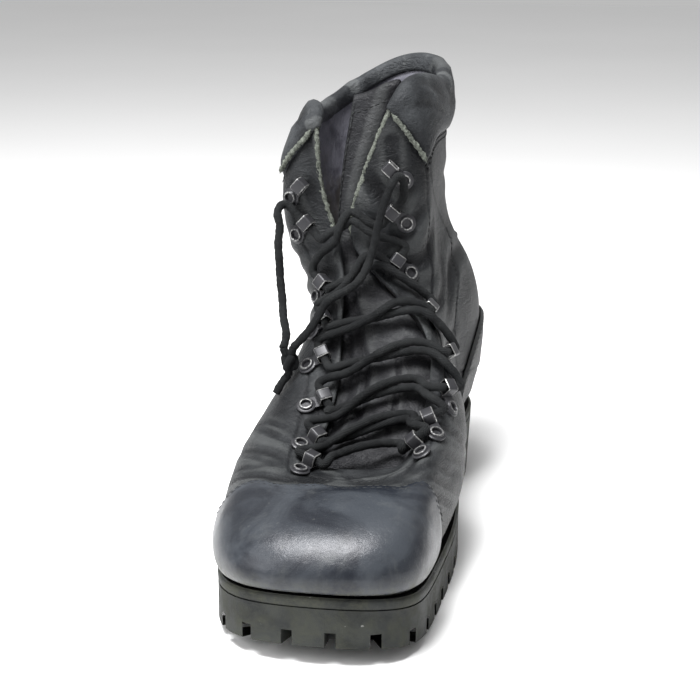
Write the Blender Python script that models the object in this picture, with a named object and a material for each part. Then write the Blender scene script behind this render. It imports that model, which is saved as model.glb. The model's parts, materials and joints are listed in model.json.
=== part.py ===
"""Combat boot, right foot: black leather upper laced through steel keepers, on a lugged rubber sole.

Metres, +Z up, toe towards -Y, inner (medial) side towards +X. The origin is on the ground under the heel.
"""

import math

import bmesh
import bpy
import numpy as np

# Driving sizes of the boot
SOLE_LENGTH = 0.310  # outsole, heel end to toe tip
BALL_WIDTH = 0.098  # last across the ball
HEEL_HEIGHT = 0.040  # ground to the lasting line at the heel
FOREFOOT_HEIGHT = 0.0235  # ground to the lasting line under the ball
TOE_SPRING = 0.009
BOOT_HEIGHT = 0.240  # ground to the top of the shaft
SHAFT_WIDTH = 0.080  # across the shaft above the ankle
SWELL = 0.010  # unit of the leather's bulges over the straight side

# Thicknesses and fits
CLEARANCE = 0.0003
WALL = 0.0026  # leather with its lining
LASTING_MARGIN = 0.011
OVERLAY = 0.0016  # toe cap and heel counter
OVERLAY_GAP = 0.0007  # their fit on the curved leather
COLLAR_PAD = 0.0040
TONGUE_THICK = 0.0042
TONGUE_GAP = 0.0010  # tongue behind the inside of the facings
TONGUE_LAP = 0.0070  # reach of the tongue's form under the facings
TONGUE_FALL = 0.6  # slope of that part away from the facings
INSOLE_THICK = 0.0035
WELT_RIM = 0.0045  # midsole beyond the lasting line
MIDSOLE_THICK = 0.0050
SHANK_THICK = 0.0090  # outsole under the arch
HEEL_TAPER = 0.0020  # the heel block narrows by this much to the ground

# Tread
LUG_DEPTH = 0.0070
LUG_GAP = 0.0050
LUG_LENGTH = 0.0150  # of the lugs along the edge
LUG_PITCH = 0.0200
TREAD_ROWS = 6  # grooves across the forefoot
TREAD_SPAN = (0.90, 0.53)  # first and last of them, shares of SOLE_LENGTH from the heel end

# Keepers: a round plate with a hollow rivet, and a tunnel for the lace on the side of the throat
KEEPER_GAP = 0.0009  # flat plate on curved leather
KEEPER_REACH = 0.0092  # middle of the tunnel to middle of the rivet
PLATE_THICK = 0.0008
PLATE_RADIUS = 0.0048
PLATE_SIDES = 8
RIVET_RADIUS = 0.0036
RIVET_HOLE = 0.0023
RIVET_HEIGHT = 0.0012
TUNNEL_LENGTH = 0.0060
TUNNEL_WIDTH = 0.0068
TUNNEL_HEIGHT = 0.0066
TUNNEL_SHEET = 0.0006

# Lace
LACE_DIAMETER = 0.0042
LACE_SIDES = 5
STRAND_HEIGHT = 0.0060  # middle of a strand over the leather
CROSSING_RISE = 0.0015  # one strand above and one below the middle of a crossing
STRAND_RINGS = 14
CROSSING_SHARE = 0.40  # where a strand leaves the leather, as a share of the way to the next pair
BAR_SHARE = 0.75  # and below the lowest pair
NARROW_CROSSINGS = (0, 4)  # their strands meet at so small an angle that only the manifold solver joins them
CORD_PITCH = 2.2  # from point to point of a free end, in lace diameters
KNOT_SIZE = 0.0048  # half the knot across, and a fifth more upwards
KNOT_SIDES = 8
KNOT_RINGS = 5

# Sampling of the surfaces
STATIONS = 24  # round the lasting line: 0 toe tip, 1 to 11 outer side, 12 heel end, 13 to 23 inner side
LEVELS = 7  # from the lasting line up to the opening
PER_STATION = 3
PER_LEVEL = 2
TONGUE_ROWS = 17
TONGUE_COLUMNS = 7

Y_BACK = 0.042  # heel end, behind the origin
BREAST = 8.25  # station of the heel breast, where the outsole ends and the heel begins
HEEL_GROOVE = 0.20  # groove across the heel, share of SOLE_LENGTH
NOTCH_END = 5.9  # last station with notches along the forefoot
NOTCH_START = 0.5  # stations from the heel breast to the first notch of the heel
OVERLAY_FOOT = 0.35  # level where toe cap and heel counter end above the welt

# Lasting line. along: share of SOLE_LENGTH from the heel end; outer, inner: shares of BALL_WIDTH from the axis
LASTING_LINE = [
    # along, outer, inner
    (0.984, 0.083, 0.083),
    (0.974, -0.160, 0.319),
    (0.938, -0.312, 0.455),
    (0.865, -0.412, 0.494),
    (0.745, -0.478, 0.503),
    (0.620, -0.492, 0.508),
    (0.490, -0.455, 0.470),
    (0.375, -0.412, 0.402),
    (0.275, -0.397, 0.385),
    (0.185, -0.402, 0.402),
    (0.100, -0.367, 0.372),
    (0.038, -0.237, 0.243),
    (0.014, 0.000, 0.000),
]

# Edge of the opening: throat, facings and collar. along as above; outer, inner: shares of SHAFT_WIDTH;
# outer_up, inner_up: shares of BOOT_HEIGHT
OPENING = [
    # along, outer, inner, outer_up, inner_up
    (0.716, 0.150, 0.150, 0.250, 0.250),
    (0.714, 0.000, 0.310, 0.248, 0.256),
    (0.700, -0.125, 0.400, 0.252, 0.268),
    (0.652, -0.140, 0.430, 0.272, 0.298),
    (0.597, -0.140, 0.440, 0.310, 0.350),
    (0.535, -0.150, 0.415, 0.380, 0.422),
    (0.477, -0.180, 0.250, 0.480, 0.515),
    (0.435, -0.110, 0.000, 0.605, 0.615),
    (0.420, -0.200, 0.070, 0.740, 0.755),
    (0.394, -0.240, 0.325, 0.892, 0.945),
    (0.216, -0.385, 0.430, 0.858, 0.930),
    (0.065, -0.310, 0.360, 0.872, 0.945),
    (0.005, 0.040, 0.040, 0.938, 0.938),
]

# Sideways set of the worn shaft over the foot: up is a share of BOOT_HEIGHT, shift a share of SHAFT_WIDTH
SHAFT_SET = [
    # up, shift
    (0.230, 0.000),
    (0.400, 0.050),
    (0.500, 0.035),
    (0.600, -0.065),
    (0.700, -0.105),
    (0.820, -0.115),
    (1.000, -0.115),
]

# Side profiles from the lasting line (level 0) to the opening (level 7). across, along and up are shares of
# the way between them in X, Y and Z; out is a bulge in shares of SWELL
PROFILES = {
    # station: rows of across, along, up, out
    0: [(0.00, 0.00, 0.00, 0.00), (0.00, 0.00, 0.27, 0.50), (0.04, 0.04, 0.57, 0.45), (0.14, 0.14, 0.83, 0.25),
        (0.30, 0.30, 0.97, 0.00), (0.52, 0.52, 1.03, 0.00), (0.76, 0.76, 1.02, 0.00), (1.00, 1.00, 1.00, 0.00)],
    4: [(0.00, 0.00, 0.00, 0.00), (0.00, 0.05, 0.20, 0.50), (0.03, 0.14, 0.41, 0.60), (0.10, 0.27, 0.61, 0.45),
        (0.23, 0.43, 0.78, 0.30), (0.45, 0.61, 0.90, 0.10), (0.72, 0.81, 0.97, 0.00), (1.00, 1.00, 1.00, 0.00)],
    6: [(0.00, 0.00, 0.00, 0.00), (0.00, 0.10, 0.15, 0.60), (0.04, 0.25, 0.32, 0.75), (0.11, 0.40, 0.49, 0.60),
        (0.23, 0.55, 0.66, 0.25), (0.42, 0.72, 0.81, 0.10), (0.68, 0.87, 0.93, 0.00), (1.00, 1.00, 1.00, 0.00)],
    7: [(0.00, 0.00, 0.00, 0.00), (0.00, 0.08, 0.13, 0.40), (0.02, 0.22, 0.28, 0.35), (0.05, 0.40, 0.44, 0.15),
        (0.12, 0.60, 0.61, -0.05), (0.27, 0.82, 0.77, -0.05), (0.58, 0.97, 0.91, 0.00), (1.00, 1.00, 1.00, 0.00)],
    9: [(0.00, 0.00, 0.00, 0.00), (0.00, 0.04, 0.11, 0.45), (0.00, 0.14, 0.24, 0.50), (0.00, 0.28, 0.38, 0.25),
        (0.00, 0.45, 0.52, -0.15), (0.06, 0.66, 0.67, -0.05), (0.35, 0.88, 0.84, 0.35), (1.00, 1.00, 1.00, 0.00)],
    10: [(0.00, 0.00, 0.00, 0.00), (0.00, 0.05, 0.11, 0.55), (0.00, 0.14, 0.24, 0.60), (0.05, 0.30, 0.38, 0.40),
         (0.15, 0.48, 0.52, 0.10), (0.40, 0.68, 0.68, 0.10), (0.75, 0.88, 0.86, 0.35), (1.00, 1.00, 1.00, 0.00)],
    12: [(0.00, 0.00, 0.00, 0.00), (0.05, 0.05, 0.10, 0.50), (0.15, 0.15, 0.21, 0.45), (0.30, 0.30, 0.34, -0.05),
         (0.45, 0.45, 0.48, -0.75), (0.65, 0.65, 0.64, -0.75), (0.85, 0.85, 0.85, -0.25), (1.00, 1.00, 1.00, 0.00)],
}

# Overlays: the level of each one's free edge, at stations on both sides
TOE_CAP_TOP = [(0, 5.50), (1, 5.45), (2, 4.90), (3, 3.60), (3.34, 2.40)]
COUNTER_TOP = [(8, 1.30), (9, 2.05), (10, 2.40), (11, 2.35), (12, 2.45)]
COLLAR_BOTTOM = [(8.67, 6.00), (12, 6.00)]

# Tongue, toe end first. station, level: where its rows cross the facings; outer, inner: how far it reaches under
# them; bulge, dip, rise: how far its middle stands out, its row lies back and its row is raised, all five in
# shares of SHAFT_WIDTH
TONGUE = [
    # station, level, outer, inner, bulge, dip, rise
    (2.0, 6.50, 0.060, 0.060, 0.000, 0.045, 0.000),
    (2.4, 7.00, 0.090, 0.060, 0.020, 0.025, 0.000),
    (3.2, 7.00, 0.090, 0.050, 0.060, 0.005, 0.000),
    (4.0, 7.00, 0.090, 0.040, 0.080, 0.005, 0.000),
    (5.0, 7.00, 0.090, 0.020, 0.080, 0.005, 0.000),
    (6.0, 7.00, 0.080, 0.020, 0.060, 0.010, 0.000),
    (7.0, 7.00, 0.050, 0.050, 0.010, 0.015, 0.000),
    (8.0, 7.00, -0.120, 0.080, 0.010, 0.030, 0.000),
    (9.0, 7.00, -0.220, 0.060, 0.010, 0.060, 0.080),
]

# Keepers, lowest pair first. station and inset of each: the inset is from the edge of the leather to the middle
# of the tunnel, in tunnel widths. rise: how far the lace above the pair stands out over the straight way
# between its tunnels, in lace diameters
KEEPERS = [
    # outer station, outer inset, inner station, inner inset, rise
    (2.00, 1.0, 21.00, 2.0, 0.6),
    (3.20, 0.9, 20.20, 2.2, 1.2),
    (4.40, 0.9, 19.30, 2.2, 0.9),
    (5.35, 1.2, 18.55, 2.2, 0.6),
    (6.05, 1.3, 17.90, 2.2, 0.5),
    (6.70, 1.6, 16.85, 3.7, 0.3),
    (7.70, 1.8, 16.10, 3.0, 0.0),
    (8.20, 1.8, 15.72, 1.8, 0.0),
]
LACED = 7  # pairs with lace in them, the top pair is free

# Free ends of the lace from the highest laced pair to the knot at the outer side, as along, across and up:
# shares of SOLE_LENGTH, SHAFT_WIDTH and BOOT_HEIGHT
LACE_END_OUTER = [
    # along, across, up
    (0.432, -0.545, 0.698),
    (0.442, -0.570, 0.684),
    (0.445, -0.555, 0.660),
    (0.448, -0.560, 0.629),
    (0.455, -0.550, 0.581),
    (0.461, -0.540, 0.545),
    (0.475, -0.515, 0.505),
    (0.495, -0.490, 0.470),
    (0.518, -0.455, 0.442),
    (0.535, -0.460, 0.422),
]
LACE_END_INNER = [
    (0.445, 0.210, 0.770),
    (0.462, 0.130, 0.720),
    (0.485, 0.060, 0.610),
    (0.500, -0.040, 0.550),
    (0.506, -0.199, 0.516),
    (0.520, -0.262, 0.480),
    (0.530, -0.330, 0.448),
    (0.535, -0.396, 0.424),
]
LACE_KNOT = [(0.535, -0.421, 0.392)]
LACE_TAIL = [
    (0.535, -0.428, 0.3645),
    (0.543, -0.465, 0.349),
    (0.553, -0.492, 0.330),
]


def spline(knots, values, at, period=None):
    """Cubic curve through the knots, natural at its ends or closed over a period."""
    knots = np.asarray(knots, float)
    values = np.asarray(values, float).reshape(len(knots), -1)
    at = np.asarray(at, float)
    if period:
        knots = np.append(knots, knots[0] + period)
        values = np.vstack([values, values[:1]])
        at = (at - knots[0]) % period + knots[0]
    count = len(knots)
    step = np.diff(knots)
    slope = np.diff(values, axis=0) / step[:, None]
    matrix = np.eye(count)
    right = np.zeros_like(values)
    for i in range(1, count - 1):
        matrix[i, i - 1:i + 2] = step[i - 1], 2 * (step[i - 1] + step[i]), step[i]
        right[i] = 6 * (slope[i] - slope[i - 1])
    if period:
        matrix[0, [0, 1, count - 2]] = 2 * (step[0] + step[-1]), step[0], step[-1]
        right[0] = 6 * (slope[0] - slope[-1])
        matrix[-1, [0, -1]] = -1, 1
    bend = np.linalg.solve(matrix, right)
    i = np.clip(np.searchsorted(knots, at, side="right") - 1, 0, count - 2)
    h = step[i][:, None]
    a = (knots[i + 1] - at)[:, None] / h
    b = 1 - a
    return a * values[i] + b * values[i + 1] + ((a**3 - a) * bend[i] + (b**3 - b) * bend[i + 1]) * h * h / 6


def both_sides(table, outer, inner):
    """Column of a table as a closed list: down the outer side, round the heel and back up the inner side."""
    rows = np.asarray(table, float)
    return np.concatenate([rows[:, outer], rows[-2:0:-1, inner]])


def along_to_y(along):
    return Y_BACK - along * SOLE_LENGTH


def lasting_height(y):
    """Height of the lasting line: level under the heel, down the shank, level at the ball, up at the toe."""
    along = (Y_BACK - np.asarray(y, float)) / SOLE_LENGTH
    fall = np.clip((along - 0.20) / 0.42, 0, 1)
    fall = fall * fall * (3 - 2 * fall)
    toe = np.clip((along - 0.70) / 0.30, 0, 1)
    return HEEL_HEIGHT + (FOREFOOT_HEIGHT - HEEL_HEIGHT) * fall + TOE_SPRING * toe * toe


def lasting_line(station):
    """Points and outward directions of the lasting line."""
    knots = np.arange(STATIONS)

    def plan(at):
        x = spline(knots, both_sides(LASTING_LINE, 1, 2) * BALL_WIDTH, at, STATIONS)[:, 0]
        y = spline(knots, along_to_y(both_sides(LASTING_LINE, 0, 0)), at, STATIONS)[:, 0]
        return np.stack([x, y], 1)

    point = plan(station)
    way = plan(station + 0.01) - plan(station - 0.01)
    way /= np.linalg.norm(way, axis=1)[:, None]
    out = np.stack([-way[:, 1], way[:, 0]], 1)
    return np.column_stack([point, lasting_height(point[:, 1])]), np.column_stack([out, np.zeros(len(out))])


def opening_edge(station):
    knots = np.arange(STATIONS)
    x = both_sides(OPENING, 1, 2) * SHAFT_WIDTH
    y = along_to_y(both_sides(OPENING, 0, 0))
    z = both_sides(OPENING, 3, 4) * BOOT_HEIGHT
    return spline(knots, np.stack([x, y, z], 1), station, STATIONS)


def set_shaft(points):
    """Sideways set of the worn shaft, which leaves the foot below it in place."""
    rows = np.asarray(SHAFT_SET)
    up = np.clip(points[..., 2] / BOOT_HEIGHT, rows[0, 0], rows[-1, 0])
    shift = spline(rows[:, 0], rows[:, 1], up.ravel())[:, 0].reshape(up.shape)
    moved = points.copy()
    moved[..., 0] += SHAFT_WIDTH * shift
    return moved


def skin(station, level):
    """Point of the upper's outer skin, for arrays of stations and levels of one shape."""
    shape = np.shape(station)
    station = np.ravel(station)
    level = np.ravel(level)
    named = sorted(PROFILES)
    knots = named + [STATIONS - n for n in reversed(named[1:-1])]
    rows = np.array([PROFILES[min(k, STATIONS - k)] for k in knots], float)
    share = spline(knots, rows.reshape(len(knots), -1), station, STATIONS).reshape(len(station), LEVELS + 1, 4)
    weights = spline(np.arange(LEVELS + 1), np.eye(LEVELS + 1), level)
    share = np.einsum("nlk,nl->nk", share, weights)
    foot, out = lasting_line(station)
    edge = opening_edge(station)
    point = foot + (edge - foot) * share[:, :3] + out * (SWELL * share[:, 3:])
    return set_shaft(point).reshape(*shape, 3)


def skin_normal(station, level):
    """Outward direction of the skin."""
    step = 0.02
    low = np.maximum(level - step, 0)
    high = np.minimum(level + step, LEVELS)
    up = skin(station, high) - skin(station, low)
    way = skin(station + step, level) - skin(station - step, level)
    normal = np.cross(up, way)
    return normal / np.linalg.norm(normal, axis=-1)[..., None]


def offset_skin(station, level, distance):
    return skin(station, level) + skin_normal(station, level) * distance


def level_behind(station, distance):
    """Level on the skin that lies a distance behind the edge of the opening."""
    levels = np.linspace(LEVELS, LEVELS - 3, 121)
    line = skin(np.full(len(levels), float(station)), levels)
    run = np.append(0, np.cumsum(np.linalg.norm(np.diff(line, axis=0), axis=1)))
    return np.interp(distance, run, levels)


def make_material(name, colour, roughness, metallic=0.0):
    material = bpy.data.materials.new(name)
    material.use_nodes = True
    shader = material.node_tree.nodes["Principled BSDF"]
    shader.inputs["Base Color"].default_value = (*colour, 1)
    shader.inputs["Roughness"].default_value = roughness
    shader.inputs["Metallic"].default_value = metallic
    material.diffuse_color = (*colour, 1)
    return material


def black_leather(piece):
    return make_material(piece + " leather", (0.045, 0.047, 0.050), 0.5)


def black_rubber(piece):
    return make_material(piece + " rubber", (0.060, 0.062, 0.060), 0.8)


def black_steel(piece):
    return make_material(piece + " steel", (0.050, 0.050, 0.055), 0.4, 0.9)


def black_cord(piece):
    return make_material(piece + " cord", (0.035, 0.035, 0.038), 0.95)


def make_object(name, points, faces, material):
    mesh = bpy.data.meshes.new(name)
    mesh.from_pydata([tuple(p) for p in points], [], [[int(n) for n in face] for face in faces])
    piece = bpy.data.objects.new(name, mesh)
    bpy.context.collection.objects.link(piece)
    work = bmesh.new()
    work.from_mesh(mesh)
    bmesh.ops.remove_doubles(work, verts=work.verts, dist=1e-6)
    bmesh.ops.recalc_face_normals(work, faces=work.faces)
    if work.calc_volume(signed=True) < 0:
        bmesh.ops.reverse_faces(work, faces=work.faces)
    work.to_mesh(mesh)
    work.free()
    mesh.materials.append(material)
    mesh.shade_smooth()
    mesh.set_sharp_from_angle(angle=math.radians(40))
    return piece


def ring_faces(rows, columns, close_rows, close_columns):
    """Quads of a grid of rows by columns, closed either way."""
    faces = []
    for i in range(rows if close_rows else rows - 1):
        for j in range(columns if close_columns else columns - 1):
            a = i * columns + j
            b = i * columns + (j + 1) % columns
            c = (i + 1) % rows * columns + (j + 1) % columns
            d = (i + 1) % rows * columns + j
            faces.append((a, b, c, d))
    return faces


def split_quads(quads):
    """Triangles that all split their quads along the same diagonal."""
    return [t for a, b, c, d in quads for t in ((a, b, c), (a, c, d))]


def slab(name, high, low, material):
    """Solid between two grids of points of one shape, with facets split the same way on both."""
    rows, columns = high.shape[:2]
    count = rows * columns
    sheet = split_quads(ring_faces(rows, columns, False, False))
    grid = np.arange(count).reshape(rows, columns)
    border = np.concatenate([grid[0, :-1], grid[:-1, -1], grid[-1, :0:-1], grid[:0:-1, 0]])
    faces = sheet + [(count + c, count + b, count + a) for a, b, c in sheet]
    faces += [(a, count + a, count + b, b) for a, b in zip(border, np.roll(border, -1))]
    return make_object(name, np.vstack([high.reshape(-1, 3), low.reshape(-1, 3)]), faces, material)


def stations_between(first, last):
    """The upper's own stations in a span, so that the facets of an overlay lie along the upper's."""
    return np.arange(round(first * PER_STATION), round(last * PER_STATION) + 1) / PER_STATION


def make_upper():
    """Hollow shell: each station is one closed loop, up the outside, over the edge and down the inside."""
    stations = stations_between(0, STATIONS)[:-1]
    levels = np.arange(LEVELS * PER_LEVEL + 1) / PER_LEVEL
    s, v = np.meshgrid(stations, levels, indexing="ij")
    outside = skin(s, v)
    inside = offset_skin(s, v, -WALL)
    foot, out = lasting_line(stations)
    turned = foot - out * LASTING_MARGIN
    turned[:, 2] = lasting_height(turned[:, 1])
    corner = foot - out * WALL
    corner[:, 2] = lasting_height(corner[:, 1]) + WALL
    margin = turned + np.array([0, 0, WALL])
    loops = np.concatenate([turned[:, None], outside, inside[:, :0:-1], corner[:, None], margin[:, None]], axis=1)
    rows, columns = loops.shape[:2]
    faces = split_quads(ring_faces(rows, columns, True, True))
    return make_object("upper", loops.reshape(-1, 3), faces, black_leather("upper"))


def edge_level(table, stations):
    """Level of an overlay's free edge at stations on either side."""
    rows = np.asarray(table, float)
    side = np.minimum(stations % STATIONS, -stations % STATIONS)
    return spline(rows[:, 0], rows[:, 1], side)[:, 0]


def make_overlay(name, stations, bottom, top, thickness):
    """Overlay cut between two forms of the skin, from level bottom to level top at each station."""
    levels = np.arange(LEVELS * PER_LEVEL + 1) / PER_LEVEL
    first = np.searchsorted(levels, bottom.min(), side="right") - 1
    last = np.searchsorted(levels, top.max())
    levels = levels[first:last + 1]
    s, v = np.meshgrid(stations, levels, indexing="ij")
    cut = np.clip(levels, bottom[:, None], top[:, None])
    place = (cut - levels[0]) * PER_LEVEL
    row = np.minimum(place.astype(int), len(levels) - 2)
    share = (place - row)[..., None]
    each = np.arange(len(stations))[:, None]
    sheets = [offset_skin(s, v, distance) for distance in (OVERLAY_GAP + thickness, OVERLAY_GAP)]
    high, low = [sheet[each, row] * (1 - share) + sheet[each, row + 1] * share for sheet in sheets]
    return slab(name, high, low, black_leather(name))


def make_overlays():
    end = TOE_CAP_TOP[-1][0]
    front = stations_between(-end, end)
    make_overlay("toe_cap", front, np.full(len(front), OVERLAY_FOOT), edge_level(TOE_CAP_TOP, front), OVERLAY)
    start = COUNTER_TOP[0][0]
    back = stations_between(start, STATIONS - start)
    make_overlay("heel_counter", back, np.full(len(back), OVERLAY_FOOT), edge_level(COUNTER_TOP, back), OVERLAY)
    start = COLLAR_BOTTOM[0][0]
    band = stations_between(start, STATIONS - start)
    make_overlay("collar", band, edge_level(COLLAR_BOTTOM, band), np.full(len(band), float(LEVELS)), COLLAR_PAD)


def sole_layer(name, stations, grow_low, grow_high, bottom, top, material):
    """Slab under a span of stations, in strips straight across from the outer to the inner side."""
    sides = np.stack([stations, -stations % STATIONS], 1)
    foot, out = lasting_line(sides.ravel())
    low = foot + out * grow_low
    high = foot + out * grow_high
    low[:, 2] = bottom(low[:, 1])
    high[:, 2] = top(high[:, 1])
    return slab(name, high.reshape(-1, 2, 3), low.reshape(-1, 2, 3), material)


def midsole_top(y):
    return lasting_height(y) - CLEARANCE


def midsole_bottom(y):
    return midsole_top(y) - MIDSOLE_THICK


def sole_top(y):
    return midsole_bottom(y) - CLEARANCE


def ground(y):
    return np.zeros(np.shape(y))


def tread_height(y):
    """Bottom of the forefoot tread: flat on the ground under the ball, up at the toe and up to the shank."""
    along = (Y_BACK - np.asarray(y, float)) / SOLE_LENGTH
    toe = np.clip((along - 0.70) / 0.30, 0, 1)
    shank = np.clip((0.50 - along) / 0.16, 0, 1)
    shank = shank * shank * (3 - 2 * shank)
    low = TOE_SPRING * toe * toe
    return low + (sole_top(y) - SHANK_THICK - low) * shank


def cut_away(piece, blocks):
    """Cuts separate blocks out of a piece. Each block is its plan of four corners and its top."""
    points = []
    faces = []
    for n, (plan, top) in enumerate(blocks):
        points += [(x, y, -LUG_DEPTH) for x, y in plan]
        points += [(x, y, top) for x, y in plan]
        a = 8 * n
        faces += [(a + 3, a + 2, a + 1, a), (a + 4, a + 5, a + 6, a + 7)]
        faces += [(a + i, a + (i + 1) % 4, a + 4 + (i + 1) % 4, a + 4 + i) for i in range(4)]
    cutter = make_object(piece.name + "_tread_cutter", points, faces, black_rubber(piece.name + " tread"))
    hide(cutter)
    cut = piece.modifiers.new("tread", "BOOLEAN")
    cut.operation = "DIFFERENCE"
    cut.solver = "EXACT"
    cut.object = cutter


def hide(helper):
    helper.hide_render = True
    helper.display_type = "WIRE"


def edge_notches(first, last, floor):
    """Blocks across the edge of the sole, one every LUG_PITCH along the outline between two stations."""
    fine = np.linspace(first, last, 400)
    foot, out = lasting_line(fine)
    line = (foot + out * WELT_RIM)[:, :2]
    run = np.append(0, np.cumsum(np.linalg.norm(np.diff(line, axis=0), axis=1)))
    count = int(run[-1] / LUG_PITCH)
    spare = (run[-1] - (count - 1) * LUG_PITCH) / 2
    blocks = []
    for n in range(count):
        i = np.searchsorted(run, spare + n * LUG_PITCH)
        outward = out[i, :2]
        beside = np.array([-outward[1], outward[0]]) * LUG_GAP / 2
        inner = line[i] - outward * LUG_LENGTH
        outer = line[i] + outward * LUG_GAP
        plan = [inner - beside, outer - beside, outer + beside, inner + beside]
        blocks.append((plan, float(floor(line[i, 1])) + LUG_DEPTH))
    return blocks


def cross_grooves(rows, floor):
    """Blocks across the middle of the tread at some places along it, clear of the notches at its edge."""
    fine = np.linspace(0, STATIONS / 2, 200)
    outer = lasting_line(fine)[0]
    inner = lasting_line(STATIONS - fine)[0]
    half = LUG_GAP / 2
    blocks = []
    for y in rows:
        i = np.argmin(abs(outer[:, 1] - y))
        left = outer[i, 0] + LUG_LENGTH
        right = inner[i, 0] - LUG_LENGTH
        plan = [(left, y - half), (right, y - half), (right, y + half), (left, y + half)]
        blocks.append((plan, float(floor(y)) + LUG_DEPTH))
    return blocks


def make_sole():
    around = np.arange(STATIONS + 1) / 2
    sole_layer("midsole", around, WELT_RIM, WELT_RIM, midsole_bottom, midsole_top, black_rubber("midsole"))
    front = np.append(around[around < BREAST], BREAST)
    outsole = sole_layer("outsole", front, WELT_RIM, WELT_RIM, tread_height, sole_top, black_rubber("outsole"))
    rows = np.linspace(*along_to_y(np.array(TREAD_SPAN)), TREAD_ROWS)
    cut_away(outsole, edge_notches(-NOTCH_END, NOTCH_END, tread_height) + cross_grooves(rows, tread_height))
    fine = np.linspace(0, STATIONS / 2, 1200)
    depth = lasting_line(fine)[0][:, 1]
    start = np.interp(np.interp(BREAST, fine, depth) + 2 * CLEARANCE, depth, fine)
    back = np.append(start, around[around > start])
    heel = sole_layer("heel", back, WELT_RIM - HEEL_TAPER, WELT_RIM, ground, sole_top, black_rubber("heel"))
    cut_away(heel, edge_notches(start + NOTCH_START, STATIONS - start - NOTCH_START, ground)
             + cross_grooves([along_to_y(HEEL_GROOVE)], ground))


def make_insole():
    around = np.arange(STATIONS + 1) / 2
    inset = WALL + 2 * CLEARANCE

    def low(y):
        return lasting_height(y) + WALL + CLEARANCE

    def high(y):
        return low(y) + INSOLE_THICK

    sole_layer("insole", around, -inset, -inset, low, high,
               make_material("insole board", (0.120, 0.085, 0.055), 0.8))


def tongue_row(station, level, outer, inner, bulge, dip, rise):
    """Row of points across the tongue, behind the inside of the facings, and its outward direction."""
    ends = np.array([station, STATIONS - station])
    v = np.full(2, float(level))
    normal = skin_normal(ends, v)
    edge = offset_skin(ends, v, -WALL - TONGUE_GAP)
    under = skin(ends, v - 0.1) - skin(ends, v)
    under /= np.linalg.norm(under, axis=1)[:, None]
    lap = edge + (under - normal * TONGUE_FALL) * TONGUE_LAP
    out = normal.mean(axis=0)
    out /= np.linalg.norm(out)
    if level < LEVELS:
        middle = offset_skin(np.zeros(1), np.array([level]), -WALL - TONGUE_GAP)[0]
    else:
        middle = edge.mean(axis=0) + out * bulge * SHAFT_WIDTH
    knots = np.array([lap[0], edge[0], middle, edge[1], lap[1]])
    run = np.append(0, np.cumsum(np.linalg.norm(np.diff(knots, axis=0), axis=1)))
    across = np.linspace(run[1] - outer * SHAFT_WIDTH, run[3] + inner * SHAFT_WIDTH, TONGUE_COLUMNS)
    row = spline(run, knots, across) - out * dip * SHAFT_WIDTH
    row[:, 2] += rise * SHAFT_WIDTH
    return row, out


def make_tongue():
    rows = [tongue_row(*r) for r in TONGUE]
    steps = np.arange(len(rows))
    fine = np.linspace(0, len(rows) - 1, TONGUE_ROWS)
    face = spline(steps, [row.ravel() for row, _ in rows], fine).reshape(TONGUE_ROWS, TONGUE_COLUMNS, 3)
    out = spline(steps, [out for _, out in rows], fine)[:, None]
    normal = np.cross(np.gradient(face, axis=1), np.gradient(face, axis=0))
    normal = normal / np.linalg.norm(normal, axis=-1)[..., None] + out
    normal /= np.linalg.norm(normal, axis=-1)[..., None]
    slab("tongue", face, face - normal * TONGUE_THICK, black_leather("tongue"))


def skin_at(station, level):
    return skin(np.array([station]), np.array([level]))[0]


def walk(station, level, target):
    """Station and level of the skin nearest to a point, from a start close to it."""
    step = 0.01
    for _ in range(6):
        here = skin_at(station, level)
        along = (skin_at(station + step, level) - here) / step
        up = (here - skin_at(station, level - step)) / step
        move = np.linalg.lstsq(np.stack([along, up], 1), target - here, rcond=None)[0]
        station += move[0]
        level = min(level + move[1], LEVELS)
    return station, level


def seat(station, level, toward):
    """Frame on the skin: point, direction towards the throat, direction across it, outward direction."""
    place = np.array([station]), np.array([level])
    normal = skin_normal(*place)[0]
    toward = toward - normal * (toward @ normal)
    toward /= np.linalg.norm(toward)
    return offset_skin(*place, KEEPER_GAP)[0], toward, np.cross(normal, toward), normal


def keeper_frames(station, inset):
    """Frames of a keeper's tunnel and of its rivet."""
    level = level_behind(station, inset)
    up = skin_at(station, level) - skin_at(station, level - 0.05)
    toward = seat(station, level, up)[1]
    rivet = walk(station, level, skin_at(station, level) - toward * KEEPER_REACH)
    return seat(station, level, toward), seat(*rivet, toward)


def in_frame(frame, toward, beside, out):
    point, u, w, n = frame
    return point + u * toward + w * beside + n * out


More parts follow.
